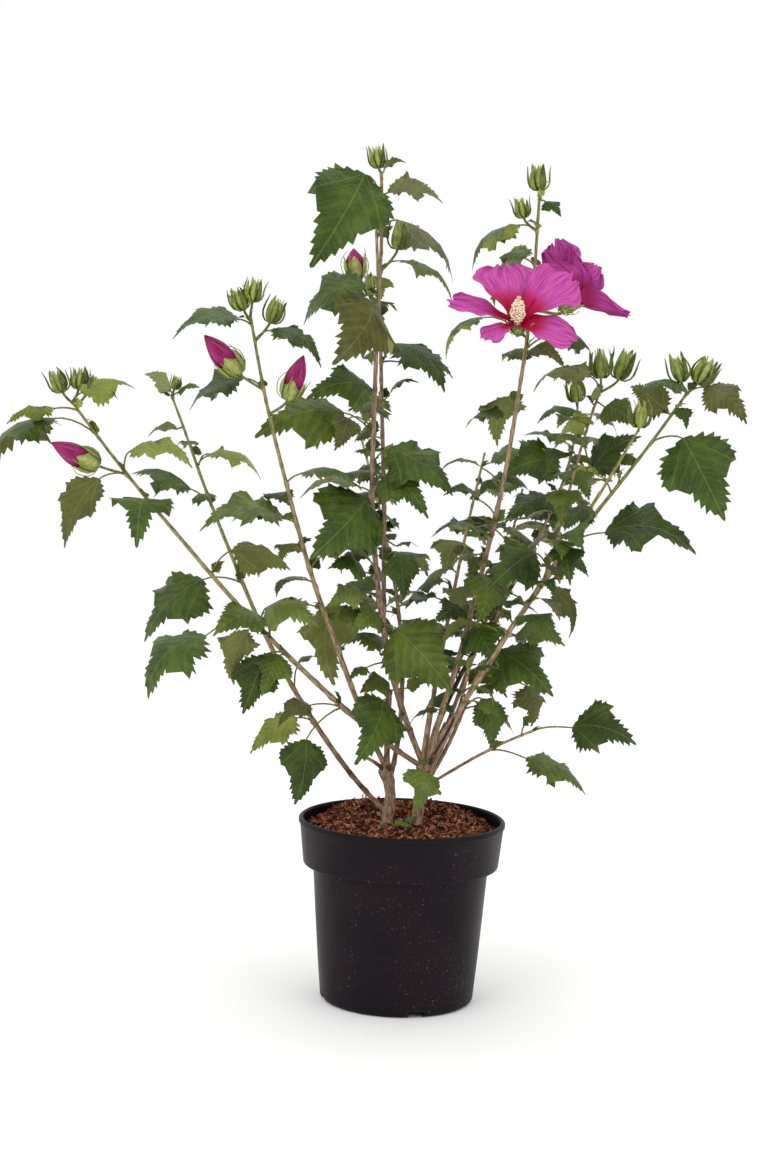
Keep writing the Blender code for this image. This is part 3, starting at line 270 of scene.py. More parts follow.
# How strongly side veins, lobe veins and the net show beside the midrib.  A side vein starts so
# far from the middle of a quilted field, whose edge is at 0.5, and the net lies so near the edge
# of its cells.
SIDE_VEIN, LOBE_VEIN, NET = 0.62, 0.8, 0.19
SIDE_VEIN_FROM, NET_WITHIN = 0.472, 0.06
TIP_MATCH = 0.25     # how near a leaf's tip has to be to a corner of the solids
JOINT_LEAF_ABOVE = 24.0   # blades longer than this may have a small leaf in their joint
JOINT_LEAF_SHARE = 0.6    # how many of them do
BACK_HALF = 20.0     # leaves rooted further back than this are in the back piece

# Greens of the upper and the lower side of a leaf, as (lit, shaded), and how often each is
# dealt.  Undersides are dealt darker greens low down, as painted shade, and paler greens above
# a certain height, as painted light shining through them.
LEAF_GREENS = (("465C18", "2E420E"), ("5A6A22", "404E14"), ("364C10", "253208"),
               ("48601C", "32460E"), ("5A5C28", "42421A"), ("6A7836", "546226"))
LEAF_BACKS = (("7B8042", "686D36"), ("8B8F58", "777B49"), ("666B30", "565A27"),
              ("98A44C", "838F3E"))
UPPER_SHARES = (0.27, 0.20, 0.24, 0.11, 0.12, 0.06)
SHADED_LOW_SHARES, BACKLIT_HIGH_SHARES = (0.38, 0.12, 0.46, 0.04), (0.27, 0.33, 0.07, 0.33)
PAINTED_BACKLIGHT_ABOVE = 560.0
SEEDLING_GREENS = (5, 9)   # the last upper green and the last lower one, by material number

# The materials of buds and flowers, by number.
CALYX, PETAL, LOBE, BRACT, STAMEN, POLLEN, FURLED_PETAL, DARK_BRACT, SHADED_PETAL = range(9)

# Buds: station, bearing, length and lift of the stalk, length and rise of the bud, and kind.
BUDS = {
    "far_left": ((1.0, -150, 15, 45, 26, 65, "green"), (1.0, 30, 15, 65, 24, 80, "green"),
        (0.99, 30, 24, 50, 16, 60, "green"), (0.83, -170, 30, 15, 55, 25, "pink")),
    "left": ((1.0, 0, 10, 80, 16, 75, "green"),),
    "inner_left": ((0.99, -140, 15, 50, 25, 60, "green"), (1.0, -45, 15, 80, 25, 80, "green"),
        (0.95, 25, 25, 50, 28, 70, "green"), (0.85, -160, 30, 30, 55, 45, "pink"),
        (0.8, -25, 25, 35, 50, 70, "pink")),
    "centre": ((1.0, 180, 5, 60, 24, 80, "green"), (0.84, -25, 30, 50, 30, 85, "green")),
    "centre_twin": ((0.79, -140, 40, 36, 34, 80, "parting"), (0.8, -115, 25, 5, 25, 85, "green")),
    "flower": ((1.0, 180, 4, 80, 28, 85, "green"), (0.94, -165, 20, 40, 22, 75, "green")),
    "right_mid": ((0.97, 10, 25, 35, 36, 70, "green"), (0.99, -110, 12, 70, 34, 75, "green")),
    "right_inner": ((0.99, -125, 6, 60, 28, 75, "green"),),
    "right_fork": ((1.0, -85, 5, 45, 30, 80, "green"),),
    "right_outer": ((1.0, -145, 15, 55, 30, 70, "green"), (1.0, 10, 15, 45, 34, 60, "green")),
}

# What share of a bud's length is calyx, and the calyx's width as a share of its height.
CALYX_SHAPE = {"green": (0.78, 0.56), "parting": (0.60, 1.02), "pink": (0.37, 1.14)}

# A closed bud and an opening one, in shares of the calyx: its profile; heights, radii and widths
# of its lobes, and the least and most that a lobe's end leans out; the number of bracts, their
# heights, radii and widths, how their last three points lean, and the least and most of it.
CLOSED_BUD = (
    ((0.08, 0.28), (0.25, 0.44), (0.45, 0.50), (0.65, 0.42), (0.85, 0.22), (1, 0.02)),
    ((0.05, 0.25, 0.50, 0.75, 0.98, 1.22), (0.26, 0.47, 0.54, 0.46, 0.34, 0.34),
     (0.10, 0.30, 0.33, 0.26, 0.15, 0.02)), (-0.15, 0.25),
    6, ((0.02, 0.07, 0.24, 0.46, 0.70, 0.92, 1.12, 1.26),
        (0.16, 0.50, 0.80, 0.93, 0.94, 0.88, 0.80, 0.74),
        (1.0, 2.3, 3.1, 3.2, 2.9, 2.3, 1.5, 0.4)), (0.25, 0.6, 1.0), (-0.30, 0.55),
)
OPENING_BUD = (
    ((0.08, 0.26), (0.25, 0.42), (0.5, 0.50), (0.8, 0.49), (0.98, 0.44), (1, 0.30)),
    ((0.08, 0.35, 0.70, 0.98, 1.15, 1.30), (0.30, 0.48, 0.54, 0.54, 0.53, 0.50),
     (0.14, 0.30, 0.33, 0.26, 0.14, 0.02)), (-0.03, 0.08),
    5, ((0.02, 0.10, 0.30, 0.60, 0.90, 1.15, 1.38, 1.55),
        (0.16, 0.42, 0.62, 0.72, 0.76, 0.76, 0.72, 0.66),
        (0.8, 1.0, 1.15, 1.15, 1.0, 0.8, 0.5, 0.15)), (0.3, 0.7, 1.0), (-0.3, 0.35),
)
FURLED_PETALS = ((0, 0.3), (0.2, 0.45), (0.4, 0.49), (0.6, 0.42), (0.8, 0.26), (0.92, 0.13),
                 (1, 0.03))
BRACT_LENGTH = 28.0  # the length of a closed bud whose bracts have just the widths above

# A petal, by how it has opened: how high it arches, how deep it is folded, and its half width
# along its length.
PETALS = {
    "open": (0.12, 0.0, (0, .12, .25, .45, .62, .78, .90, 1),
             (.07, .10, .20, .38, .48, .50, .45, .27)),
    "clawed": (0.04, 0.0, (0, .15, .30, .45, .62, .80, .92, 1),
               (.07, .09, .17, .27, .39, .49, .44, .27)),
    "broad": (0.04, 0.0, (0, .12, .25, .45, .62, .80, .92, 1),
              (.10, .20, .30, .41, .48, .49, .42, .25)),
    "folded": (0.04, 0.30, (0, .10, .30, .50, .65, .80, .92, 1),
               (.10, .22, .38, .42, .36, .24, .18, .13)),
}
# Ruffles of a petal: height, radians from its middle line to its margin, times that the petal's
# own phase is added, and radians along it.
PETAL_RUFFLES = ((0.038, 7.5, 1, 2), (0.028, 15, -2, 4))
MARGIN_CRIMP = 0.040           # height of the crimps at a petal's very margin

# Open flowers, both on the cane of that name: station, place of the calyx, bearing and rise of
# the way the flower faces, and its petals: where the tip stands from the throat, width as a
# share of the length, how it has opened, and its material.
FLOWERS = (
    (0.77, (98, -116, 727), -90, 55, (
        ((-13, 33, 63), 1.1, "open", PETAL), ((-71, -10, 21), 0.62, "clawed", PETAL),
        ((-35, -28, -16), 0.66, "clawed", PETAL), ((58, -28, -15), 0.62, "broad", PETAL),
        ((56, 6, 51), 0.86, "clawed", PETAL))),
    (0.80, (151, -30, 752), 60, 45, (
        ((-26, -10, 56), 0.8, "folded", SHADED_PETAL), ((-13, 8, 69), 0.62, "clawed", PETAL),
        ((2, -6, 62), 0.8, "folded", SHADED_PETAL), ((33, 6, 42), 0.80, "clawed", PETAL),
        ((67, -8, -10), 0.7, "folded", SHADED_PETAL))),
)
PETAL_SKIN = 0.2     # half the thickness of a petal
COLUMN_FOOT, COLUMN_TIP = 9.0, 38.0     # heights of the stamen column above the calyx's base
ANTHERS = 170
FILAMENT_RADIUS = 0.28
GOLDEN_ANGLE = 2.39996

# The camera: place in metres, how far it looks down and is rolled, and its lens in millimetres.
CAMERA_PLACE = (-0.0284, -2.45, 0.703)
CAMERA_DOWN, CAMERA_ROLL = 5.58, 1.9
FOCAL_LENGTH, SENSOR_WIDTH = 71.3, 36.0

# Lamps: name, place, width in metres and power in watts.  All shine at the middle of the plant.
LAMPS = (("key", (-1.5, -2.2, 2.3), 1.6, 18), ("fill", (1.9, -1.8, 1.4), 1.6, 7),
         ("top", (0.2, 0.6, 2.6), 1.8, 10))
LAMP_AIM = (0, 0, 0.45)


# --- colour and materials ------------------------------------------------------------------

def linear(code):
    """An sRGB hex value as linear red, green, blue and alpha."""
    parts = (int(code[i:i + 2], 16) / 255 for i in (0, 2, 4))
    return (*(c / 12.92 if c <= 0.04045 else ((c + 0.055) / 1.055) ** 2.4 for c in parts), 1.0)


class Look:
    """One material in the making: short calls add its nodes and join them up."""

    def __init__(self, name):
        self.material = bpy.data.materials.new(name)
        self.material.use_nodes = True
        self.tree = self.material.node_tree
        self.shader = self.tree.nodes["Principled BSDF"]

    def wire(self, node, inputs):
        """Link each input that is given a socket, and set the others to their values."""
        for key, value in inputs.items():
            if isinstance(value, bpy.types.NodeSocket):
                self.tree.links.new(value, node.inputs[key])
            else:
                node.inputs[key].default_value = value

    def node(self, kind, inputs=(), output=0, **settings):
        """Add a node and return one of its outputs."""
        node = self.tree.nodes.new("ShaderNode" + kind)
        for key, value in settings.items():
            setattr(node, key, value)
        self.wire(node, dict(inputs))
        return node.outputs[output]

    def math(self, operation, *values):
        """One sum on up to three numbers or sockets."""
        return self.node("Math", dict(enumerate(values)), operation=operation)

    def noise(self, place, scale, detail=2.0, roughness=0.5):
        """Soft noise about 0.5, with scale cells to the unit of place."""
        return self.node("TexNoise", {"Vector": place, "Scale": scale, "Detail": detail,
                                      "Roughness": roughness})

    def ramp(self, value, *stops):
        """A colour read from stops of (value, hex colour)."""
        colour = self.node("ValToRGB", {0: value})
        elements = colour.node.color_ramp.elements
        while len(elements) < len(stops):
            elements.new(0.5)
        for element, (place, code) in zip(elements, stops):
            element.position = place
            element.color = linear(code)
        return colour

    def blend(self, share, first, second, **settings):
        """A colour with a share of the second laid over the first."""
        return self.node("Mix", {0: share, 6: first, 7: second}, 2, data_type="RGBA", **settings)

    def finish(self, colour, height, relief, roughness, specular):
        """Give the shader its colour, gloss and bump of (strength, depth in metres)."""
        bump = self.node("Bump", {"Strength": relief[0], "Distance": relief[1], "Height": height})
        self.wire(self.shader, {"Base Color": colour, "Normal": bump, "Roughness": roughness,
                                "Specular IOR Level": specular})
        return self.material


def leaf_material(name, base, shade, vein, share, gloss, relief):
    """A leaf skin: waxy green with paler veins, quilted between them.

    The UV map holds the leaf's own plane in lengths of the blade.  A midrib, a vein to each side
    lobe and side veins a VEIN_STEP apart, about 8 mm, are drawn as narrow bands that wander a
    little, over a net of cells 2 to 3 mm wide.  The green is mottled at random, and painted darker
    towards the side veins and lighter between them as painted shade and light on the quilting.
    """
    look = Look(name)
    math = look.math
    plane = look.node("UVMap")
    split = look.node("SeparateXYZ", {0: plane}).node
    x, y = split.outputs[0], math("ABSOLUTE", split.outputs[1])
    wander = math("SUBTRACT", look.noise(plane, 7.0), 0.5)
    lobe = math("MULTIPLY_ADD", y, 0.77, math("MULTIPLY", x, -0.64))
    inner = math("LESS_THAN", lobe, 0.0)
    curve = math("MULTIPLY_ADD", math("MULTIPLY", y, y), -0.9, x)
    slant = math("MULTIPLY", math("MULTIPLY_ADD", y, -0.75, curve), inner)
    fan = math("MULTIPLY", math("MULTIPLY_ADD", y, 0.35, x), math("SUBTRACT", 1.0, inner))
    way = math("MULTIPLY_ADD", wander, 0.07, math("ADD", slant, fan))
    field = math("FRACT", math("DIVIDE", way, VEIN_STEP))
    ridge = math("ABSOLUTE", math("SUBTRACT", field, 0.5))
    side_vein = math("MULTIPLY", math("GREATER_THAN", ridge, SIDE_VEIN_FROM), SIDE_VEIN)
    midrib = math("LESS_THAN", y, MIDRIB_HALF)
    lobe = math("ABSOLUTE", math("MULTIPLY_ADD", wander, 0.03, lobe))
    lobe_vein = math("MULTIPLY", math("LESS_THAN", lobe, LOBE_VEIN_HALF), LOBE_VEIN)
    cells = look.node("TexVoronoi", {"Vector": plane, "Scale": NET_CELLS}, "Distance",
                      feature="DISTANCE_TO_EDGE")
    net = math("MULTIPLY", math("LESS_THAN", cells, NET_WITHIN), NET)
    veins = math("MAXIMUM", math("MAXIMUM", side_vein, midrib), lobe_vein)
    veins = math("MULTIPLY", math("MAXIMUM", veins, net), share)
    blotch = look.noise(look.node("TexCoord", output="Object"), 45.0, 3.0)
    # The green is mottled at random and painted darker near the side veins and lighter between
    # them: painted shade and light on the quilted bulges.
    mottle_and_painted_shade = math("MULTIPLY_ADD", ridge, -0.42, math("ADD", blotch, 0.10))
    colour = look.blend(veins, look.ramp(mottle_and_painted_shade, (0.35, shade), (0.65, base)), linear(vein))
    quilt = math("MULTIPLY_ADD", cells, 2.0, math("COSINE", math("MULTIPLY", ridge, 3.14)))
    return look.finish(colour, quilt, (relief, 0.0009), gloss, 0.2)


def plain_tissue(name, low, high, scale, gloss, grain):
    """A surface that varies softly between two colours, with a fine grain of its own."""
    look = Look(name)
    mottle = look.noise(look.node("TexCoord", output="Object"), scale, 4.0)
    colour = look.ramp(mottle, (0.35, low), (0.65, high))
    return look.finish(colour, mottle, (grain, 0.0008), gloss, 0.15)


def pot_material():
    """Black polypropylene, injection moulded: a charcoal satin with dust and handling marks.

    Dust flecks about 2 mm apart lie where a broad noise allows them, and the same noise changes
    the gloss as wiped and unwiped plastic does.
    """
    look = Look("moulded_polypropylene")
    math = look.math
    place = look.node("TexCoord", output="Object")
    broad = look.noise(place, 14.0, 3.0)
    dust = math("MULTIPLY", math("GREATER_THAN", look.noise(place, 560.0), 0.70),
                math("GREATER_THAN", broad, 0.50))
    body = look.ramp(broad, (0.3, "151014"), (0.7, "1F171B"))
    colour = look.blend(math("MULTIPLY", dust, 0.34), body, linear("9A938A"))
    gloss = look.node("MapRange", {"Value": broad, "From Min": 0.3, "From Max": 0.7,
                                   "To Min": 0.34, "To Max": 0.50})
    look.shader.inputs["IOR"].default_value = 1.49
    return look.finish(colour, look.noise(place, 900.0), (0.12, 0.0004), gloss, 0.08)


def bark_material(name, shades, streak):
    """Bark of a hibiscus cane: green and smooth where young, tan and finely split where old.

    The attribute "age" runs from 0 at a green tip to 1 at a woody foot, and "grain" holds each
    point's place on the cane laid straight.
    """
    look = Look(name)
    place = look.node("Attribute", output="Vector", attribute_name="grain")
    age = look.node("Attribute", output="Fac", attribute_name="age")
    grain = look.noise(look.node("Mapping", {"Vector": place, "Scale": (1, 1, 0.16)}), 700.0, 4.0)
    patch = look.math("SUBTRACT", look.noise(place, 60.0, 3.0), 0.5)
    shade = look.ramp(look.math("MULTIPLY_ADD", patch, 0.7, age), *shades)
    splits = look.ramp(grain, (0.36, streak), (0.60, "FFFFFF"))
    colour = look.blend(0.75, shade, splits, blend_type="MULTIPLY")
    return look.finish(colour, grain, (0.35, 0.0006), 0.62, 0.25)


def petal_material(name, light, deep, eye):
    """A hibiscus petal: silky tissue with fan veins and a crimson eye that bleeds outwards.

    The UV map holds the way along the petal and the way across it.  Veins are a wave across,
    the eye fades out along, and its edge is broken up by the same veins.
    """
    look = Look(name)
    math = look.math
    split = look.node("SeparateXYZ", {0: look.node("UVMap")}).node
    along, across = split.outputs[0], split.outputs[1]
    fan = look.node("CombineXYZ", {0: math("MULTIPLY", along, 0.9),
                                   1: math("MULTIPLY", across, 9.0)})
    veins = look.noise(fan, 3.0, 4.0, 0.65)
    edge = math("MULTIPLY_ADD", math("SUBTRACT", veins, 0.5), -0.55, along)
    stain = look.node("MapRange", {"Value": edge, "From Min": 0.30, "From Max": 0.56,
                                   "To Min": 1.0, "To Max": 0.0}, interpolation_type="SMOOTHSTEP")
    colour = look.blend(stain, look.ramp(veins, (0.38, deep), (0.60, light)), linear(eye))
    return look.finish(colour, veins, (0.32, 0.0010), 0.55, 0.15)


# --- meshes --------------------------------------------------------------------------------

def stacked(*parts):
    """Arrays of points one after another, as rows of three."""
    return np.concatenate([np.reshape(part, (-1, 3)) for part in parts])


class Pile:
    """Shapes of one kind gathered into one mesh."""

    def __init__(self):
        self.points, self.uvs, self.marks, self.rims, self.grains = [], [], [], [], []
        self.faces, self.kinds, self.count = [], [], 0

    def add(self, points, faces, kind=0, uv=None, mark=0.0, rim=None, grain=None):
        """Add a shape: points in millimetres, lists of equal-sized faces, and what each point
        carries: its place on the UV map, its mark, whether it is on a sharp rim and its place in
        the grain, which is its own place where none is given."""
        points = np.asarray(points, float).reshape(-1, 3)
        size = len(points)
        self.points.append(points)
        self.uvs.append(np.zeros((size, 2)) if uv is None else np.reshape(uv, (-1, 2)))
        self.marks.append(np.broadcast_to(np.asarray(mark, float).ravel(), (size,)))
        self.rims.append(np.zeros(size, bool) if rim is None else rim)
        self.grains.append(points * MM if grain is None else grain)
        kinds = kind if isinstance(kind, list) else [kind] * len(faces)
        for group, number in zip(faces, kinds):
            self.faces.append(group + self.count)
            self.kinds.append(np.full(len(group), number, np.int32))
        self.count += size

    def tube(self, path, radii, columns, kind=0, wide=1.0, side=None, **data):
        """Add a tube swept along a path, with the same data on its points as add() takes."""
        self.add(*sweep(path, radii, columns, wide, side), kind, **data)

    def make(self, name, materials, mark=None, smooth=True):
        """Turn the pile into one object at the origin, in metres."""
        mesh = bpy.data.meshes.new(name)
        points = np.concatenate(self.points) * MM
        corners = np.concatenate([group.ravel() for group in self.faces])
        sizes = np.concatenate([np.full(len(group), group.shape[1]) for group in self.faces])
        mesh.vertices.add(len(points))
        mesh.vertices.foreach_set("co", points.astype(np.float32).ravel())
        mesh.loops.add(len(corners))
        mesh.loops.foreach_set("vertex_index", corners.astype(np.int32))
        mesh.polygons.add(len(sizes))
        mesh.polygons.foreach_set("loop_start", (np.cumsum(sizes) - sizes).astype(np.int32))
        mesh.update(calc_edges=True)
        mesh.polygons.foreach_set("material_index", np.concatenate(self.kinds))
        mesh.polygons.foreach_set("use_smooth", np.full(len(sizes), smooth))
        flat = mesh.uv_layers.new(name="UVMap")
        flat.data.foreach_set("uv", np.concatenate(self.uvs)[corners].astype(np.float32).ravel())
        if mark:
            for key, kind, field, values in ((mark, "FLOAT", "value", self.marks),
                                             ("grain", "FLOAT_VECTOR", "vector", self.grains)):
                layer = mesh.attributes.new(key, kind, "POINT")
                values = np.concatenate(values).astype(np.float32)
                layer.data.foreach_set(field, values.ravel())
        rims = np.concatenate(self.rims)
        if rims.any():
            ends = np.empty(len(mesh.edges) * 2, np.int32)
            mesh.edges.foreach_get("vertices", ends)
            sharp = mesh.attributes.new("sharp_edge", "BOOLEAN", "EDGE")
            sharp.data.foreach_set("value", rims[ends.reshape(-1, 2)].all(axis=1))
        for material in materials:
            mesh.materials.append(material)
        mesh.validate()
        thing = bpy.data.objects.new(name, mesh)
        bpy.context.scene.collection.objects.link(thing)
        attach(thing, "root")
        return thing


def nodes_named(*starts):
    """The nodes of the frame whose names start so."""
    return [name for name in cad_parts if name.startswith(starts)]


def unit(v):
    """Vectors of length one along the last axis."""
    v = np.asarray(v, float)
    return v / np.maximum(np.linalg.norm(v, axis=-1, keepdims=True), 1e-9)


def heading(bearing, rise):
    """The unit vector at a bearing anticlockwise from +X and a rise above the level, degrees."""
    a, b = np.radians(bearing), np.radians(rise)
    return np.array([np.cos(a) * np.cos(b), np.sin(a) * np.cos(b), np.sin(b)])


def spin(vectors, axis, angle):
    """Vectors turned about an axis by an angle in radians (Rodrigues' formula)."""
    axis = unit(axis)
    c, s = np.cos(angle), np.sin(angle)
    return vectors * c + np.cross(axis, vectors) * s + axis * (vectors @ axis)[..., None] * (1 - c)


def full_turn(columns):
    """Even angles all the way round."""
    return np.linspace(0, 2 * np.pi, columns, endpoint=False)


def square_to(along):
    """A unit vector square to a direction."""
    return unit(np.cross(along, np.eye(3)[np.argmin(np.abs(along))]))


def grid_faces(rows, columns, closed=True):
    """Quads between the rows of a grid of points, numbered row by row."""
    i = np.arange(rows - 1)[:, None] * columns
    j = np.arange(columns if closed else columns - 1)[None, :]
    k = (j + 1) % columns
    return np.stack([i + j, i + k, i + columns + k, i + columns + j], -1).reshape(-1, 4)


def closed_faces(rows, columns):
    """Faces of a tube: its quads, and triangles from the first and last row to two poles whose
    points come after the grid."""
    j = np.arange(columns)
    k = (j + 1) % columns
    first, last, top = rows * columns, rows * columns + 1, (rows - 1) * columns
    poles = np.concatenate([np.stack([k, j, np.full(columns, first)], -1),
                            np.stack([top + j, top + k, np.full(columns, last)], -1)])
    return [grid_faces(rows, columns), poles]


def sides_of(path):
    """Two unit vectors square to the path at each point, and the path's own direction."""
    along = unit(np.gradient(path, axis=0))
    reference = np.eye(3)[np.argmin(np.abs(unit(path[-1] - path[0])))]
    side = unit(np.cross(reference, along))
    return side, np.cross(along, side), along


def sweep(path, radii, columns, wide=1.0, side=None):
    """A closed tube: each point is the path's point plus the radius, as cosine of the angle
    times one side and sine times the other.  radii may be one per row or a whole grid; wide
    stretches the first side to make a strap."""
    path = np.asarray(path, float)
    across, up, along = sides_of(path)
    if side is not None:
        across = unit(side - along * np.sum(along * side, axis=-1, keepdims=True))
        up = np.cross(along, across)
    angle = full_turn(columns)
    radii = np.asarray(radii, float)
    radii = radii[:, None] if radii.ndim == 1 else radii
    wide = np.broadcast_to(np.asarray(wide, float), (len(path),))[:, None, None]
    ring = (across[:, None] * np.cos(angle)[None, :, None] * wide
            + up[:, None] * np.sin(angle)[None, :, None])
    points = path[:, None] + ring * radii[..., None]
    return stacked(points, path[:1], path[-1:]), closed_faces(len(path), columns)


def bezier(a, b, c, d, count):
    """Points of a cubic curve: the four handles weighted by Bernstein's terms."""
    t = np.linspace(0, 1, count)[:, None]
    s = 1 - t
    return a * s ** 3 + b * 3 * s * s * t + c * 3 * s * t * t + d * t ** 3


def read_path(at, marks, points):
    """The points of a path at some marks along it, given the marks of its own points."""
    return np.stack([np.interp(at, marks, points[:, k]) for k in range(3)], -1)


class Cane:
    """One cane: a cubic curve, read by its length."""

    SAMPLES = 200

    def __init__(self, foot, tip, *handles):
        self.points = bezier(*(np.array(h, float) for h in handles), self.SAMPLES + 1)
        steps = np.linalg.norm(np.diff(self.points, axis=0), axis=1)
        self.lengths = np.concatenate([[0.0], np.cumsum(steps)])
        self.length = self.lengths[-1]
        self.foot, self.tip = foot, tip

    def at(self, distance):
        """The points at distances along the cane."""
        return read_path(distance, self.lengths, self.points)

    def radius(self, distance):
        """Half the diameter at a distance along the cane."""
        return 0.5 * (self.foot + (self.tip - self.foot) * distance / self.length)


canes = {name: Cane(*plan) for name, plan in CANES.items()}


# --- the pot and what is in it -------------------------------------------------------------

def arc(centre, radius, first, last, count):
    """Points of an arc in a turned profile, as (radius, height)."""
    angle = np.radians(np.linspace(first, last, count))
    return list(zip(centre[0] + radius * np.cos(angle), centre[1] + radius * np.sin(angle)))


def build_pot():
    """The pot: a turned wall with a rolled rim and a stepped collar, whose foot ring is lifted
    where the drain notches pass under it."""
    lip = 1.6
    floor_top = FLOOR_RISE + WALL

    def inner(height):
        share = (height - FOOT_ROUND) / (COLLAR_HEIGHT - FOOT_ROUND)
        return FOOT_RADIUS + (BODY_RADIUS - FOOT_RADIUS) * share - WALL

    # The inside from the middle of the floor up to the rim, then the outside down again.
    profile = np.array([
        (0.0, WALL), (FLOOR_MIDDLE - WALL, WALL), (FLOOR_MIDDLE - WALL + 2, floor_top),
        *arc((inner(floor_top) - 3, floor_top + 3), 3, -90, 0, 5),
        (inner(COLLAR_HEIGHT - 3.0), COLLAR_HEIGHT - 3.0),
        *arc((COLLAR_RADIUS - WALL - 2, COLLAR_HEIGHT + WALL + 2), 2, -90, 0, 4),
        (RIM_RADIUS - lip - WALL - 0.6, RIM_HEIGHT - 9),
        *arc((RIM_RADIUS - lip - 0.9, RIM_HEIGHT - lip), lip + 0.9, 180, 90, 6),
        *arc((RIM_RADIUS - lip, RIM_HEIGHT - lip), lip, 80, 0, 6),
        (RIM_RADIUS, RIM_HEIGHT - 3.4),
        *arc((RIM_RADIUS - 0.9, RIM_HEIGHT - 4.3), 0.9, 0, -80, 4),
        (RIM_RADIUS - 1.6, RIM_HEIGHT - 6.5),
        *arc((COLLAR_RADIUS - 1.4, COLLAR_HEIGHT + 1.6), 1.5, 0, -75, 5),
        *arc((BODY_RADIUS + 1.0, COLLAR_HEIGHT - 2.0), 1.0, 120, 180, 4),
        (BODY_RADIUS - 4, COLLAR_HEIGHT - 55), (BODY_RADIUS - 8, COLLAR_HEIGHT - 105),
        *arc((FOOT_RADIUS - FOOT_ROUND, FOOT_ROUND), FOOT_ROUND, 5, -90, 8),
        (CHANNEL_OUTER, 0.0), (CHANNEL_OUTER - 1.0, FLOOR_RISE),
        (FLOOR_MIDDLE + 2.0, FLOOR_RISE), (FLOOR_MIDDLE, 0.0), (0.0, 0.0)])

    # Two close columns at each side of a notch make its steep cheek.
    half = np.degrees(np.arcsin(0.5 * NOTCH_WIDTH / FOOT_RADIUS))
    middles = NOTCH_BEARING + 360.0 / NOTCHES * np.arange(NOTCHES)
    edges = np.concatenate([middles - half, middles + half])
    even = np.arange(-180, 180, POT_STEP) + 0.3
    bearings = np.concatenate([even, edges - 0.06, edges + 0.06])
    bearings = np.sort((bearings + 180) % 360 - 180)
    turn = np.radians(bearings)[None]
    radius, height = profile[1:-1, :1], profile[1:-1, 1:]
    points = np.stack([radius * np.cos(turn), radius * np.sin(turn),
                       np.repeat(height, len(bearings), axis=1)], -1)
    near = np.abs((bearings[:, None] - middles + 180) % 360 - 180).min(axis=1) < half
    lifted = near[None, :] & (radius > CHANNEL_OUTER - 2) & (height < NOTCH_HEIGHT)
    points[..., 2][lifted] = NOTCH_HEIGHT
    pile = Pile()
    pile.add(stacked(points, (0, 0, profile[0, 1]), (0, 0, profile[-1, 1])),
             [faces[:, ::-1] for faces in closed_faces(len(radius), len(bearings))])
    pot = pile.make("pot_wall", [pot_material()])
    soften = pot.modifiers.new("crisp edges", "EDGE_SPLIT")
    soften.split_angle = np.radians(CRISP_ANGLE)
    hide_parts("pot")


def mix_height(x, y):
    """The top of the potting mix: level in the middle and falling to the wall, heaped towards
    the back and hollow at the right, with bumps from a few crossed waves."""
    r = np.hypot(x, y)
    fall = np.clip((r - MIX_FLAT_RADIUS) / MIX_SLOPE, 0, 1)
    top = MIX_LEVEL + 1.0 - (MIX_LEVEL - MIX_EDGE_LEVEL) * fall
    heap = sum(tall * np.exp(-(((x - a) / wide) ** 2 + ((y - b) / deep) ** 2))
               for tall, a, b, wide, deep in HEAPS)
    waves = np.sin(x * 0.21 + 1.3) * np.sin(y * 0.17 + 0.4) + 0.6 * np.sin(x * 0.47 + y * 0.39)
    return top + heap + 1.7 * waves


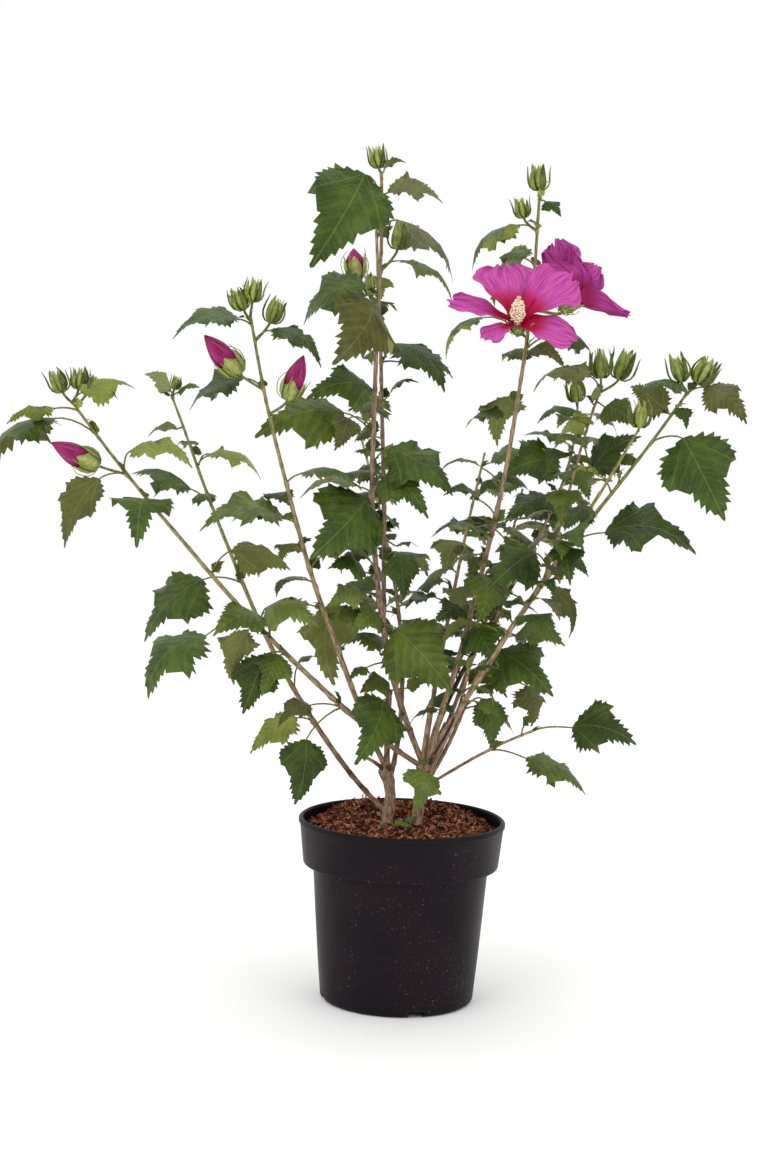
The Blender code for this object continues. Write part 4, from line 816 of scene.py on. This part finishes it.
def build_mix(rng):
    """The potting mix: a bumpy disc with chips of composted bark strewn over it.

    Each chip is a block of eight corners, pulled about, turned and tilted by its own angles.
    """
    rings, columns = 30, 96
    radius = np.linspace(3, MIX_RADIUS, rings)[:, None]
    turn = full_turn(columns)[None]
    x, y = radius * np.cos(turn), radius * np.sin(turn)
    top = np.stack([x, y, mix_height(x, y) + rng.normal(0, 0.5, x.shape)], -1)
    under = top[-1:] * (0.97, 0.97, 0) + (0, 0, MIX_UNDERSIDE)
    pile = Pile()
    pile.add(stacked(top, under, (0, 0, MIX_LEVEL), (0, 0, MIX_UNDERSIDE)),
             closed_faces(rings + 1, columns))

    place = np.sqrt(rng.random(CHIPS)) * (MIX_RADIUS - 5)
    bearing = rng.random(CHIPS) * 2 * np.pi
    x, y = place * np.cos(bearing), place * np.sin(bearing)
    length = SHORTEST_CHIP + CHIP_SPREAD * rng.random(CHIPS) ** 2.4
    width = np.clip(length * rng.uniform(*CHIP_WIDTHS, CHIPS), 0.5, 2.4)
    sizes = np.stack([length, width, rng.uniform(*CHIP_HEIGHTS, CHIPS)], -1)
    corners = np.array([(i, j, k) for k in (-.5, .5) for j in (-.5, .5) for i in (-.5, .5)])
    chips = corners[None] * sizes[:, None] * rng.uniform(0.55, 1.15, (CHIPS, 8, 3))
    yaw, tilt = rng.uniform(0, 2 * np.pi, CHIPS), rng.normal(0, 0.45, (2, CHIPS)).clip(-0.9, 0.9)
    cy, sy = np.cos(yaw)[:, None], np.sin(yaw)[:, None]
    ct, st = np.cos(tilt[0])[:, None], np.sin(tilt[0])[:, None]
    cx, sx = chips[..., 0] * ct + chips[..., 2] * st, -chips[..., 0] * st + chips[..., 2] * ct
    roll = np.tan(tilt[1])[:, None] * chips[..., 1]
    chips = np.stack([cx * cy - chips[..., 1] * sy, cx * sy + chips[..., 1] * cy, sx + roll], -1)
    chips += np.stack([x, y, mix_height(x, y) + rng.uniform(0.2, 2.4, CHIPS)], -1)[:, None]
    block = np.array([(0, 2, 3, 1), (4, 5, 7, 6), (0, 1, 5, 4), (1, 3, 7, 5), (3, 2, 6, 7),
                      (2, 0, 4, 6)])
    browns = (("140A06", "2C180F"), ("643422", "864C34"), ("8A4A30", "AC6C4C"),
              ("40211A", "5E3222"), ("A46C4A", "CC9A74"), ("28140D", "442418"))
    shade = rng.integers(1, len(browns), CHIPS)
    for number in range(1, len(browns)):
        mine = chips[shade == number]
        faces = block[None] + np.arange(len(mine))[:, None, None] * len(corners)
        pile.add(mine, [faces.reshape(-1, 4)], number)
    materials = [plain_tissue(f"composted_bark_{i + 1}", *pair, 600.0, 0.9, 0.5)
                 for i, pair in enumerate(browns)]
    mix = pile.make("mulch_chips", materials, smooth=False)
    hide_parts("potting_mix")


# --- stumps and canes ----------------------------------------------------------------------

def lengthwise(s, turn, radius):
    """Where each point of a tube would be if the tube stood straight along Z, so that a grain
    laid on it runs lengthwise; the two poles come last, as sweep() has them."""
    ring = np.stack([radius * np.cos(turn), radius * np.sin(turn),
                     np.broadcast_to(s[:, None], radius.shape)], -1)
    return stacked(ring, (0.0, 0.0, s[0]), (0.0, 0.0, s[-1])) * MM


def build_stump(pile, axis, diameters, knots, rng):
    """One stump: a tube with long ridges and a root flare, swollen and darker at its knots."""
    axis = np.array(axis, float)
    height = np.linspace(STUMP_FOOT, axis[-1, 2] + 1.5, STUMP_RINGS)
    z = height[:, None]
    turn = full_turn(STUMP_COLUMNS)[None]
    path = read_path(height, axis[:, 2], axis)
    path[:, 2] = height
    path = (path + np.roll(path, 1, 0) + np.roll(path, -1, 0)) / 3
    path[0], path[-1] = 2 * path[1] - path[2], 2 * path[-2] - path[-3]
    radius = STUMP_SHARE * np.interp(height, axis[:, 2], diameters)[:, None]
    radius = radius + ROOT_FLARE * np.exp(-(z - STUMP_FOOT) / FLARE_HEIGHT)
    ridges = (0.045 * np.sin(5 * turn + z * 0.05) + 0.03 * np.sin(11 * turn - z * 0.12)
              + 0.02 * np.sin(z * 0.9 + 3 * turn))
    radius = radius * (1 + ridges) + rng.normal(0, 0.10, ridges.shape)
    age = np.full(radius.shape, STUMP_AGE)
    for middle, bearing, proud, tall in knots:
        facing = np.clip(np.cos(turn - np.radians(bearing)), 0, 1) ** 2
        swelling = proud * facing * np.exp(-((z - middle) / tall) ** 2)
        radius = radius + swelling
        age = age + 0.07 * swelling
    radius[-1] *= 0.6
    pile.tube(path, radius, STUMP_COLUMNS, side=np.array([1.0, 0.0, 0.0]),
              mark=np.append(age.ravel(), (STUMP_AGE, STUMP_AGE)),
              grain=lengthwise(height, turn, radius))


def build_cane(pile, name, cane, rng):
    """One cane's bark: a slightly swaying tube with soft ridges and a ring at every leaf scar."""
    columns = 12
    turn = full_turn(columns)[None]
    rows = max(8, int(cane.length / CANE_STEP))
    s = np.linspace(0, cane.length, rows)
    path = cane.at(s)
    side, up, _ = sides_of(path)
    sway = np.sin(s / 31 + rng.uniform(0, 6)) * np.clip(s / 40, 0, 1) * 0.4
    path = path + side * sway[:, None] + up * np.roll(sway, 7)[:, None] * 0.6
    radius = SLIMMER * cane.radius(s)[:, None] * (1 + 0.03 * np.sin(3 * turn + s[:, None] / 60)
                                                  + rng.normal(0, 0.008, (rows, columns)))
    radius = radius * (0.86 + 0.14 * np.clip(s / 120, 0, 1) + 0.12 * np.exp(-s / 7))[:, None]
    scars = [plan[:2] for table in (LEAVES, BUDS) for plan in table.get(name, ())]
    bare = np.arange(0.06, 1.0, SCAR_STEP)
    scars += [(station, SCAR_TURN * i) for i, station in enumerate(bare)]
    for station, bearing in scars:
        way = heading(bearing, 0)
        middle = min(int(station * rows), rows - 1)
        facing = np.arctan2(way @ up[middle], way @ side[middle])
        bump = np.exp(-((s - station * cane.length) / SCAR_HEIGHT) ** 2)[:, None]
        radius = radius * (1 + bump * (0.10 + 0.24 * np.clip(np.cos(turn - facing), 0, 1) ** 2))
    age = np.interp(path[:, 2], AGE_HEIGHTS, AGES.get(name, USUAL_AGES))
    pile.tube(path, radius, columns, grain=lengthwise(s, turn, radius),
              mark=np.concatenate([np.repeat(age, columns), age[:1], age[-1:]]))


def build_wood(rng):
    """Stumps, spurs and canes, joined into one skin of bark."""
    pile = Pile()
    for plan in STUMPS.values():
        build_stump(pile, *plan, rng)
    for handles, (foot, cut), age in SPURS:
        a, b, c = (np.array(p, float) for p in handles)
        path = bezier(a, (a + 2 * b) / 3, (c + 2 * b) / 3, c, 22)
        radius = 0.5 * np.linspace(foot, cut, 22)
        radius[-3:] *= (1.12, 1.1, 0.9)
        pile.tube(path, radius[:, None] * (1 + rng.normal(0, 0.02, (22, 10))), 10, mark=age)
    for name, cane in canes.items():
        build_cane(pile, name, cane, rng)
    shades = ((0.0, "838D42"), (0.28, "929150"), (0.5, "A89468"), (0.72, "A88D72"),
              (0.86, "B2967A"), (1.04, "7A5D42"), (1.30, "583C2A"))
    wood = pile.make("bark_of_stumps_and_canes", [bark_material("hibiscus_bark", shades, "523E2C")],
                     mark="age")
    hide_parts(*nodes_named("stump_", "bough_"))


# --- leaves --------------------------------------------------------------------------------

def blade_plan(teeth, lobe, sharp, rng):
    """The flat outline of half a blade in lengths of the blade: a margin table read at even
    steps gives the notches between teeth, and halfway points pushed out and forward give the
    tips; the midrib and a ring two thirds of the way out have a point for every two teeth."""
    t = np.linspace(0, 1, teeth + 1)
    table_x, table_y = np.array(MARGIN_X), np.array(MARGIN_Y)
    table_y[4:7] -= lobe * np.array((-0.01, 0.10, 0.055))
    table_x[2:6] -= np.array((0.03, 0.08, 0.12, 0.06)) * rng.random()

    def margin(t):
        return np.stack([np.interp(t, MARGIN_T, table_x), np.interp(t, MARGIN_T, table_y)], -1)

    notch = margin(t)
    middle = (t[:-1] + t[1:]) / 2 + 0.2 / teeth
    ahead = unit(margin(middle + 0.02) - margin(middle - 0.02))
    out = np.stack([-ahead[:, 1], ahead[:, 0]], -1)
    size = sharp * rng.uniform(0.3, 2.0, teeth)[:, None] * (12 / teeth) ** 0.5
    size[[0, -1]] *= 0.3
    size[-2] *= 0.6
    tip = margin(middle) + out * TOOTH_OUT * size + ahead * TOOTH_AHEAD * size
    notch[1:-1] -= 0.5 * (out[:-1] + out[1:]) * NOTCH_IN * sharp
    spine = np.stack([np.interp(t[::2], SPINE_T, SPINE_X), np.zeros(teeth // 2 + 1)], -1)
    ring = spine + (notch[::2] - spine) * 0.64
    return spine, ring, notch, tip


def blade_faces(teeth):
    """Faces of a blade whose points are numbered midrib up and down, then for each half the
    ring up and down, the notches and the tips.  A quad keeps its diagonal when it is turned
    over, so that the two skins never cross."""
    m = teeth // 2 + 1
    k = np.arange(m - 1)
    skins = ([[], []], [[], []])
    for half in (0, 1):
        start = 2 * m + half * (2 * m + 2 * teeth + 1)
        notch = start + 2 * m + 2 * k
        tip = start + 2 * m + teeth + 1 + 2 * k
        for skin in (0, 1):
            spine, ring = skin * m + k, start + skin * m + k
            quads = np.concatenate([np.stack(corners, -1) for corners in (
                (spine, spine + 1, ring + 1, ring), (ring, notch + 1, tip, notch),
                (ring + 1, notch + 2, tip + 1, notch + 1))])
            tris = np.stack([ring, ring + 1, notch + 1], -1)
            if half != skin:
                quads, tris = quads[:, [0, 3, 2, 1]], tris[:, ::-1]
            skins[skin][0].append(quads)
            skins[skin][1].append(tris)
    up, down = ([np.concatenate(group) for group in skin] for skin in skins)
    left, right = 2 * m, 4 * m + 2 * teeth + 1
    ends = []
    for i, j in ((0, 0), (m - 1, teeth)):
        loop = [right + 2 * m + j, right + i, i, left + i, left + 2 * m + j, left + m + i, m + i,
                right + m + i]
        ends.append(loop if i == 0 else loop[::-1])
    return up + down + [np.array(ends)]


BLADES = {teeth: blade_faces(teeth) for teeth in (FEW_TEETH, MANY_TEETH)}


def leaf(pile, stalks, root, bearing, plan, rng, tints):
    """One leaf: a stalk arched from the cane and a toothed, lobed blade.

    The height of the blade is a long bow along it, a fold at the midrib, a droop with the
    square of the way out, a twist, and two ruffles that grow towards the margin.
    """
    stalk, lift, length, rise, face = plan
    base = root + heading(bearing, lift) * stalk
    along, up = heading(bearing, rise), heading(bearing, rise + 90)
    side = np.cross(along, up)
    if side[1] > 0:
        side = -side
    face = np.radians(face)
    y_axis = unit(np.cross(up * np.cos(face) + side * np.sin(face), along))
    z_axis = np.cross(along, y_axis)
    big = length > BIG_LEAF
    teeth = MANY_TEETH if big else FEW_TEETH
    lobe = rng.uniform(0.4, 1.5) + (0.25 if big else 0.0)
    spine, ring, notch, tip = blade_plan(teeth, lobe, rng.uniform(0.85, 1.45), rng)
    fold = rng.uniform(-0.34, 0.28)
    wave, phase = rng.uniform(0.045, 0.095), rng.uniform(0, 6.28)
    width = rng.uniform(0.86, 1.08)
    drift, twist = rng.uniform(-0.05, 0.05), rng.uniform(-0.45, 0.45)
    bow, droop = rng.uniform(0.7, 1.35) * BLADE_BOW, rng.uniform(0.05, 0.13)
    rows = [(spine, 1, 1.0), (spine, 1, -1.0)]
    for half in (1, -1):
        rows += [(ring, half, 0.8), (ring, half, -0.8), (notch, half, 0.0), (tip, half, 0.0)]
    flat = np.concatenate([line * (1, half * width) for line, half, _ in rows])
    skins = np.concatenate([np.full(len(line), skin * SKIN) for line, _, skin in rows])
    x, y = flat[:, 0], flat[:, 1]
    reach = np.abs(y) / max(MARGIN_Y)
    height = bow * 4 * x * (1 - x) + fold * np.abs(y) - droop * reach ** 2 + twist * y * x
    for strength, ripple, turn, shift in LEAF_RUFFLES:
        ruffle = np.sin(x * ripple + phase * turn + (y > 0) * shift)
        height = height + wave * strength * ruffle * np.clip(reach, 0, 1) ** 2
    bend = drift * length * x * x
    points = (base + along * (x * length)[:, None] + y_axis * (y * length + bend)[:, None]
              + z_axis * (height * length + skins)[:, None])
    above, below = tints
    pile.add(points, BLADES[teeth], [above, above, below, below, above], uv=flat, rim=skins == 0)
    if stalk > 1:
        first = heading(bearing, min(lift + 22, 85))
        bent = base - unit(along + heading(bearing, lift)) * stalk * 0.3
        path = bezier(root, root + first * stalk * 0.35, bent, base + along * 0.8, 6)
        stalks.tube(path, (1.35, 1.1, 1.0, 0.95, 0.95, 0.8), 5, mark=0.2)


def fill_plans(name, cane, rng):
    """The leaves that a cane carries by rule: alternate nodes, turned round the stem."""
    plans = []
    for first, last, spacing, middle, spread, length in FILLS[name]:
        count = max(1, round((last - first) * cane.length / spacing))
        for i in range(count):
            station = first + (last - first) * (i + 0.5) / count
            swing = ((i * 0.618 + 0.31 * len(plans)) % 1.0) * 2 - 1
            size = length * rng.uniform(0.75, 1.15) * (1.1 - 0.3 * station)
            plans.append((station, middle + spread * swing, rng.uniform(12, 26), rng.uniform(5, 45),
                          size, rng.uniform(-45, 5), rng.uniform(-20, 35)))
    return plans


def solid_points():
    """A search tree over the corners of the leafy solids, in millimetres."""
    corners = []
    for name in nodes_named("leaves_"):
        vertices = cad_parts[name].data.vertices
        flat = np.empty(len(vertices) * 3, np.float32)
        vertices.foreach_get("co", flat)
        corners.append(flat.reshape(-1, 3) / MM)
    corners = np.unique(np.round(np.concatenate(corners), 3), axis=0)
    tree = KDTree(len(corners))
    for i, corner in enumerate(corners):
        tree.insert(corner, i)
    tree.balance()
    return tree


def settle(tree, cane, plan):
    """The turn that a leaf took to stay clear of others, found by where its tip stands; None
    where the plant has no such leaf."""
    station, bearing, stalk, lift, length, rise, face = plan
    root = cane.at(station * cane.length)
    for turn, tilt in TURNS:
        tip = (root + heading(bearing + turn, lift) * stalk
               + heading(bearing + turn, rise + tilt) * length)
        if tree.find(tip)[2] < TIP_MATCH:
            return root, bearing + turn, (stalk, lift, length, rise + tilt, face)
    return None


def build_leaves(seeds, rng):
    """All leaves, dealt to two joined pieces; each leaf takes one green above and one below."""
    materials = [leaf_material(f"hibiscus_leaf_above_{i + 1}", *pair, "93A258", 0.22, 0.40, 0.60)
                 for i, pair in enumerate(LEAF_GREENS)]
    materials += [leaf_material(f"hibiscus_leaf_below_{i + 1}", *pair, "B4B88A", 0.26, 0.66, 0.12)
                  for i, pair in enumerate(LEAF_BACKS)]
    tree = solid_points()
    stalks, piles = Pile(), (Pile(), Pile())
    fills = {name: fill_plans(name, canes[name], seeds) for name in FILLS}
    plans = [(canes[name], plan) for table in (LEAVES, fills) for name in table
             for plan in table[name]]
    for cane, plan in plans:
        found = settle(tree, cane, plan)
        if found is None:
            continue
        root, bearing, shape = found
        # Undersides above that height get paler greens, painted light shining through them; lower
        # ones get darker greens, painted shade.
        shares = BACKLIT_HIGH_SHARES if root[2] > PAINTED_BACKLIGHT_ABOVE else SHADED_LOW_SHARES
        tints = (int(rng.choice(len(LEAF_GREENS), p=UPPER_SHARES)),
                 len(LEAF_GREENS) + int(rng.choice(len(LEAF_BACKS), p=shares)))
        pile = piles[int(root[1] > BACK_HALF)]
        leaf(pile, stalks, root, bearing, shape, rng, tints)
        # Many of the larger leaves have a small one in the joint with the cane.
        if shape[2] > JOINT_LEAF_ABOVE and rng.random() < JOINT_LEAF_SHARE:
            small = (3.0, 50.0, rng.uniform(9, 22), rng.uniform(5, 65), rng.uniform(0, 40))
            leaf(pile, stalks, root, bearing + rng.uniform(-60, 60), small, rng, tints)
    for root, bearing, shape in SEEDLINGS:
        leaf(piles[0], stalks, np.array(root, float), bearing, shape, rng, SEEDLING_GREENS)
    for pile, name in zip(piles, ("leaves_of_the_front", "leaves_of_the_back")):
        piece = pile.make(name, materials)
        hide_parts(*nodes_named("leaves_"))
    return stalks


# --- buds and flowers ----------------------------------------------------------------------

def ovoid(pile, base, along, profile, kind, ridge, twist=0.0, columns=16):
    """A closed body of revolution about a direction: the profile lists (height, radius) and is
    read at 12 even steps; five ridges run up it, leaning by the twist."""
    profile = np.array(profile, float)
    rows = 12
    height = np.linspace(profile[0, 0], profile[-1, 0], rows)
    radius = np.interp(height, profile[:, 0], profile[:, 1])[:, None]
    turn = full_turn(columns)[None]
    share = ((height - height[0]) / (height[-1] - height[0]))[:, None]
    radius = radius * (1 + ridge * np.sin(5 * turn + twist * share))
    side = square_to(along)
    up = np.cross(along, side)
    ring = side * np.cos(turn)[..., None] + up * np.sin(turn)[..., None]
    points = base + along * height[:, None, None] + ring * radius[..., None]
    u, v = np.broadcast_arrays(share, turn / (2 * np.pi))
    uv = np.concatenate([np.stack([u, v], -1).reshape(-1, 2), [[0, 0.5], [1, 0.5]]])
    pile.add(stacked(points, base + along * height[0], base + along * height[-1]),
             closed_faces(rows, columns), kind, uv=uv)


def strap(pile, base, along, out, heights, radii, widths, thickness, kind):
    """A narrow bract or sepal: a flat tube through heights along one direction and radii along
    another, stretched sideways to its width and closed at both ends."""
    heights, radii = np.array(heights, float), np.array(radii, float)
    path = base + along * heights[:, None] + out * radii[:, None]
    widths = np.maximum(np.asarray(widths, float), 0.25)
    thickness = np.broadcast_to(thickness, widths.shape)
    pile.tube(path, thickness, 4, kind, widths / thickness, np.cross(along, out))


def build_bud(pile, stalks, root, base, along, length, kind, rng):
    """One bud: a five-ribbed calyx whose lobes close over it or part round furled petals, and a
    ring of bracts that curve outwards."""
    green = kind == "green"
    share, ratio = CALYX_SHAPE[kind]
    cup = length * share
    width = ratio * cup
    calyx, lobe, lobe_lean, bracts, bract, lean, least_most = CLOSED_BUD if green else OPENING_BUD
    profile = [(0.0, 1.3)] + [(h * cup, max(r * width, 0.3)) for h, r in calyx]
    ovoid(pile, base, along, profile, CALYX, 0.07)
    if not green:
        start = 0.12 * length
        petals = [(start + h * (length - start), r * width) for h, r in FURLED_PETALS]
        ovoid(pile, base, along, petals, FURLED_PETAL, 0.10, twist=3.4, columns=30)
    first = square_to(along)
    for i in range(5):
        out = spin(first, along, 2 * np.pi * i / 5 + 0.3)
        h, r, w = np.array(lobe)
        r[-1] += rng.uniform(*lobe_lean)
        strap(pile, base, along, out, h * cup, r * width, w * width, 0.5, LOBE)
    for i in range(bracts):
        out = spin(first, along, 2 * np.pi * i / bracts + rng.uniform(-0.25, 0.25))
        h, r, w = np.array(bract)
        h = h * rng.uniform(0.85, 1.08)
        r[-3:] += np.array(lean) * rng.uniform(*least_most)
        w = w * length / BRACT_LENGTH if green else w
        strap(pile, base, along, out, h * cup, r * width, w, np.clip(0.36 * w, 0.3, 1.0),
              BRACT if i % 2 else DARK_BRACT)
    sag = bezier(root, root + unit(base - root) * 3, base - along * 6, base + along * 1.0, 7)
    stalks.tube(sag, np.linspace(1.5, 1.3, 7), 6, mark=0.2)


def petal(pile, base, along, inner, size, wide, phase, kind, form):
    """One petal: a grid of the way along and the way across.

    A table gives its half width along the way, and its end is rounded, notched and crimped.  It
    arches towards the middle of the flower, cups across with the square of the way out, leans
    up at one side so that it overlaps the next like a fan, and is ruffled by waves that grow to
    the margin and run both across it and along it.
    """
    rows, columns = 30, 25
    u = np.linspace(0, 1, rows)[:, None]
    v = np.linspace(-1, 1, columns)[None]
    arch, fold, *half_widths = PETALS[form]
    half = np.interp(u, *half_widths) * size * wide
    notch = 0.10 * np.exp(-((v - 0.5 * np.sin(phase * 2.3)) / 0.11) ** 2)
    end = 1 - 0.11 * np.abs(v) ** 2.4 - (notch + 0.022 * np.sin(v * 8 + phase)
                                         + 0.012 * np.sin(v * 23 - phase)) * (u > 0.6)
    x = u * size * end
    y = v * half * (1 + 0.035 * np.sin(u * 21 + phase + v))
    grow = np.clip(u * 1.3 - 0.3, 0, 1) * (0.30 + 0.70 * np.abs(v))
    z = (arch * size * 4 * u * (1 - u) + 0.30 * half * v ** 2 * (1 - u) * 2 + 0.14 * half * v
         + fold * half * np.abs(v))
    for strength, across, turn, lengthways in PETAL_RUFFLES:
        z = z + strength * size * np.sin(v * across + phase * turn + u * lengthways) * grow
    crimp = np.sin(u * 15 + phase + 2 * (v > 0)) * np.abs(v) ** 3 * u
    z = z + MARGIN_CRIMP * size * crimp
    side = unit(np.cross(inner, along))
    deep = np.cross(along, side)
    top = base + along * x[..., None] + side * y[..., None] + deep * z[..., None]
    normal = unit(np.cross(*np.gradient(top, axis=(0, 1))))
    uv = np.stack(np.broadcast_arrays(u, v * 0.5), -1)
    faces = grid_faces(rows, columns, closed=False)
    count = rows * columns
    grid = np.arange(count).reshape(rows, columns)
    margin = np.concatenate([grid[0], grid[1:, -1], grid[-1, -2::-1], grid[-2:0:-1, 0]])
    following = np.roll(margin, -1)
    wall = np.stack([margin, following, following + count, margin + count], -1)
    pile.add(stacked(top + normal * PETAL_SKIN, top - normal * PETAL_SKIN),
             [faces[:, ::-1], faces + count, wall], kind, uv=np.stack([uv, uv]))


def build_flower(pile, stalks, cane, plan, rng):
    """One open flower: calyx, bracts, five petals that overlap like a fan, and the column with
    its anthers and its hooked style."""
    station, place, bearing, rise, petals = plan
    root = cane.at(station * cane.length)
    base = np.array(place, float)
    axis, across = heading(bearing, rise), heading(bearing, rise + 90)
    for i, (tip, wide, form, kind) in enumerate(petals):
        along = unit(tip)
        inner = unit(axis - along * (axis @ along))
        throat = base + axis * (10.5 + 0.4 * i)
        petal(pile, throat, along, inner, np.linalg.norm(tip), wide, 1.7 * i + bearing, kind, form)
    cup = ((0, 1.4), (2, 4.5), (6, 7.0), (10, 7.2), (12.5, 4.5), (13, 1.0))
    ovoid(pile, base, axis, cup, CALYX, 0.06)
    for turn in np.radians(72 * np.arange(5) + 36):
        strap(pile, base, axis, spin(across, axis, turn), (2, 7, 11, 14, 17), (4, 7.8, 10, 14, 18),
              (2.0, 4.6, 4.2, 2.6, 0.3), 0.5, LOBE)
    for turn in 2 * np.pi * np.arange(8) / 8 + 0.2:
        strap(pile, base, axis, spin(across, axis, turn), (1, 2, 6, 11, 16),
              (1.5, 6, 11, 14.5, 16), (0.8, 1.1, 1.1, 0.8, 0.2), 0.35, BRACT)

    foot, tip = base + axis * COLUMN_FOOT, base + axis * COLUMN_TIP
    lean = across * 1.5
    path = bezier(foot, foot + axis * 12, tip - axis * 12 + lean, tip + lean, 12)
    pile.tube(path, np.linspace(4.2, 2.2, 12), 10, STAMEN)
    step = np.arange(ANTHERS)
    away = step * GOLDEN_ANGLE
    share = 0.22 + 0.77 * (step + 0.5) / ANTHERS
    side, up, _ = sides_of(path)
    spot = read_path(share * 11, np.arange(12), path)
    out = side[5] * np.cos(away)[:, None] + up[5] * np.sin(away)[:, None]
    for centre, way, place in zip(spot, out, share):
        reach = rng.uniform(0.75, 1.1) * np.interp(place, (0.2, 0.45, 0.8, 1), (5.4, 6.9, 5.2, 2.4))
        tipped = centre + way * reach + axis * rng.uniform(0.5, 2.0)
        pile.tube(np.linspace(centre, tipped, 3), np.full(3, FILAMENT_RADIUS), 3, STAMEN)
        h, r = np.array([(0, .5, 1.1, 1.7, 2.1), (.2, .9, 1.05, .8, .2)]) * 1.15
        pile.tube(tipped + unit(way + axis * 0.4) * (h[:, None] - 0.8), r, 6, POLLEN)
    for i in range(5):
        out = spin(side[-1], axis, 2 * np.pi * i / 5)
        end = path[-1] + axis * 4.5 + out * 2.0
        style = bezier(path[-1] - axis, path[-1] + axis * 4, path[-1] + axis * 6.5 + out, end, 7)
        pile.tube(style, (.5, .5, .45, .45, .5, .9, .8), 5, STAMEN)
    stem = bezier(root, root + UP * 12, base - axis * 12, base + axis, 12)
    stalks.tube(stem, np.linspace(1.8, 1.6, 12), 8, mark=0.3)


def build_blossom(stalks, rng):
    """Buds and flowers in one piece, and every stalk of the shrub in another."""
    pile = Pile()
    for name, plans in BUDS.items():
        for station, bearing, stalk, lift, length, rise, kind in plans:
            root = canes[name].at(station * canes[name].length - 1.0)
            base = root + heading(bearing, lift) * stalk
            build_bud(pile, stalks, root, base, heading(bearing, rise), length, kind, rng)
    for plan in FLOWERS:
        build_flower(pile, stalks, canes["flower"], plan, rng)
    blossom = pile.make("buds_and_flowers", [
        plain_tissue("calyx_green", "8A9246", "ABB26C", 160.0, 0.6, 0.3),
        petal_material("hibiscus_petal", "CA58A8", "9E3484", "A80A3C"),
        plain_tissue("calyx_lobe", "8E9648", "B0B670", 200.0, 0.6, 0.3),
        plain_tissue("bract_green", "66752E", "8FA04C", 150.0, 0.6, 0.3),
        plain_tissue("stamen_cream", "E2C9A6", "F0DDC0", 300.0, 0.6, 0.1),
        plain_tissue("pollen_cream", "E8D0A6", "F8EBD2", 500.0, 0.8, 0.3),
        petal_material("furled_hibiscus_petal", "AE3478", "6E1444", "8A1C54"),
        plain_tissue("bract_dark_green", "3E4A1C", "64742F", 150.0, 0.6, 0.3),
        petal_material("shaded_hibiscus_petal", "BA4496", "8E2870", "8C1850"),
    ])
    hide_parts(*nodes_named("leaves_"))
    shades = ((0.0, "6F7F3A"), (0.35, "86803F"), (0.6, "8A6A48"), (1.0, "8A6A48"))
    stems = stalks.make("leaf_and_flower_stalks", [bark_material("leaf_stalk", shades, "6A5A44")],
                        mark="age")
    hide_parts(*nodes_named("leaves_"))


# --- stage ---------------------------------------------------------------------------------

def build_stage():
    """A pale floor, a soft white sky, three broad lamps and the camera."""
    bpy.ops.mesh.primitive_plane_add(size=12.0, location=(0, 2.0, 0))
    floor = bpy.context.object
    floor.name = "studio_floor"
    paper = Look("studio_paper")
    paper.wire(paper.shader, {"Base Color": linear("FFFFFF"), "Roughness": 0.9})
    floor.data.materials.append(paper.material)

    scene = bpy.context.scene
    scene.world = bpy.data.worlds.new("studio")
    scene.world.use_nodes = True
    sky = scene.world.node_tree.nodes["Background"]
    sky.inputs[0].default_value = linear("FFFFFF")
    sky.inputs[1].default_value = 1.0
    for name, place, size, power in LAMPS:
        lamp = bpy.data.lights.new(name, "AREA")
        lamp.energy, lamp.size = power, size
        thing = bpy.data.objects.new(name, lamp)
        scene.collection.objects.link(thing)
        aim = (Vector(LAMP_AIM) - Vector(place)).to_track_quat("-Z", "Y")
        thing.matrix_world = Matrix.Translation(place) @ aim.to_matrix().to_4x4()

    lens = bpy.data.cameras.new("camera")
    lens.lens, lens.sensor_width, lens.sensor_fit = FOCAL_LENGTH, SENSOR_WIDTH, "AUTO"
    camera = bpy.data.objects.new("camera", lens)
    scene.collection.objects.link(camera)
    tilt = (Matrix.Rotation(np.radians(90 - CAMERA_DOWN), 4, "X")
            @ Matrix.Rotation(np.radians(CAMERA_ROLL), 4, "Z"))
    camera.matrix_world = Matrix.Translation(CAMERA_PLACE) @ tilt
    scene.camera = camera
    scene.view_settings.view_transform = "Standard"


rng = np.random.default_rng(SEED)
build_stage()
build_pot()
build_mix(rng)
build_wood(rng)
stalks = build_leaves(random.Random(SEED), rng)
build_blossom(stalks, rng)
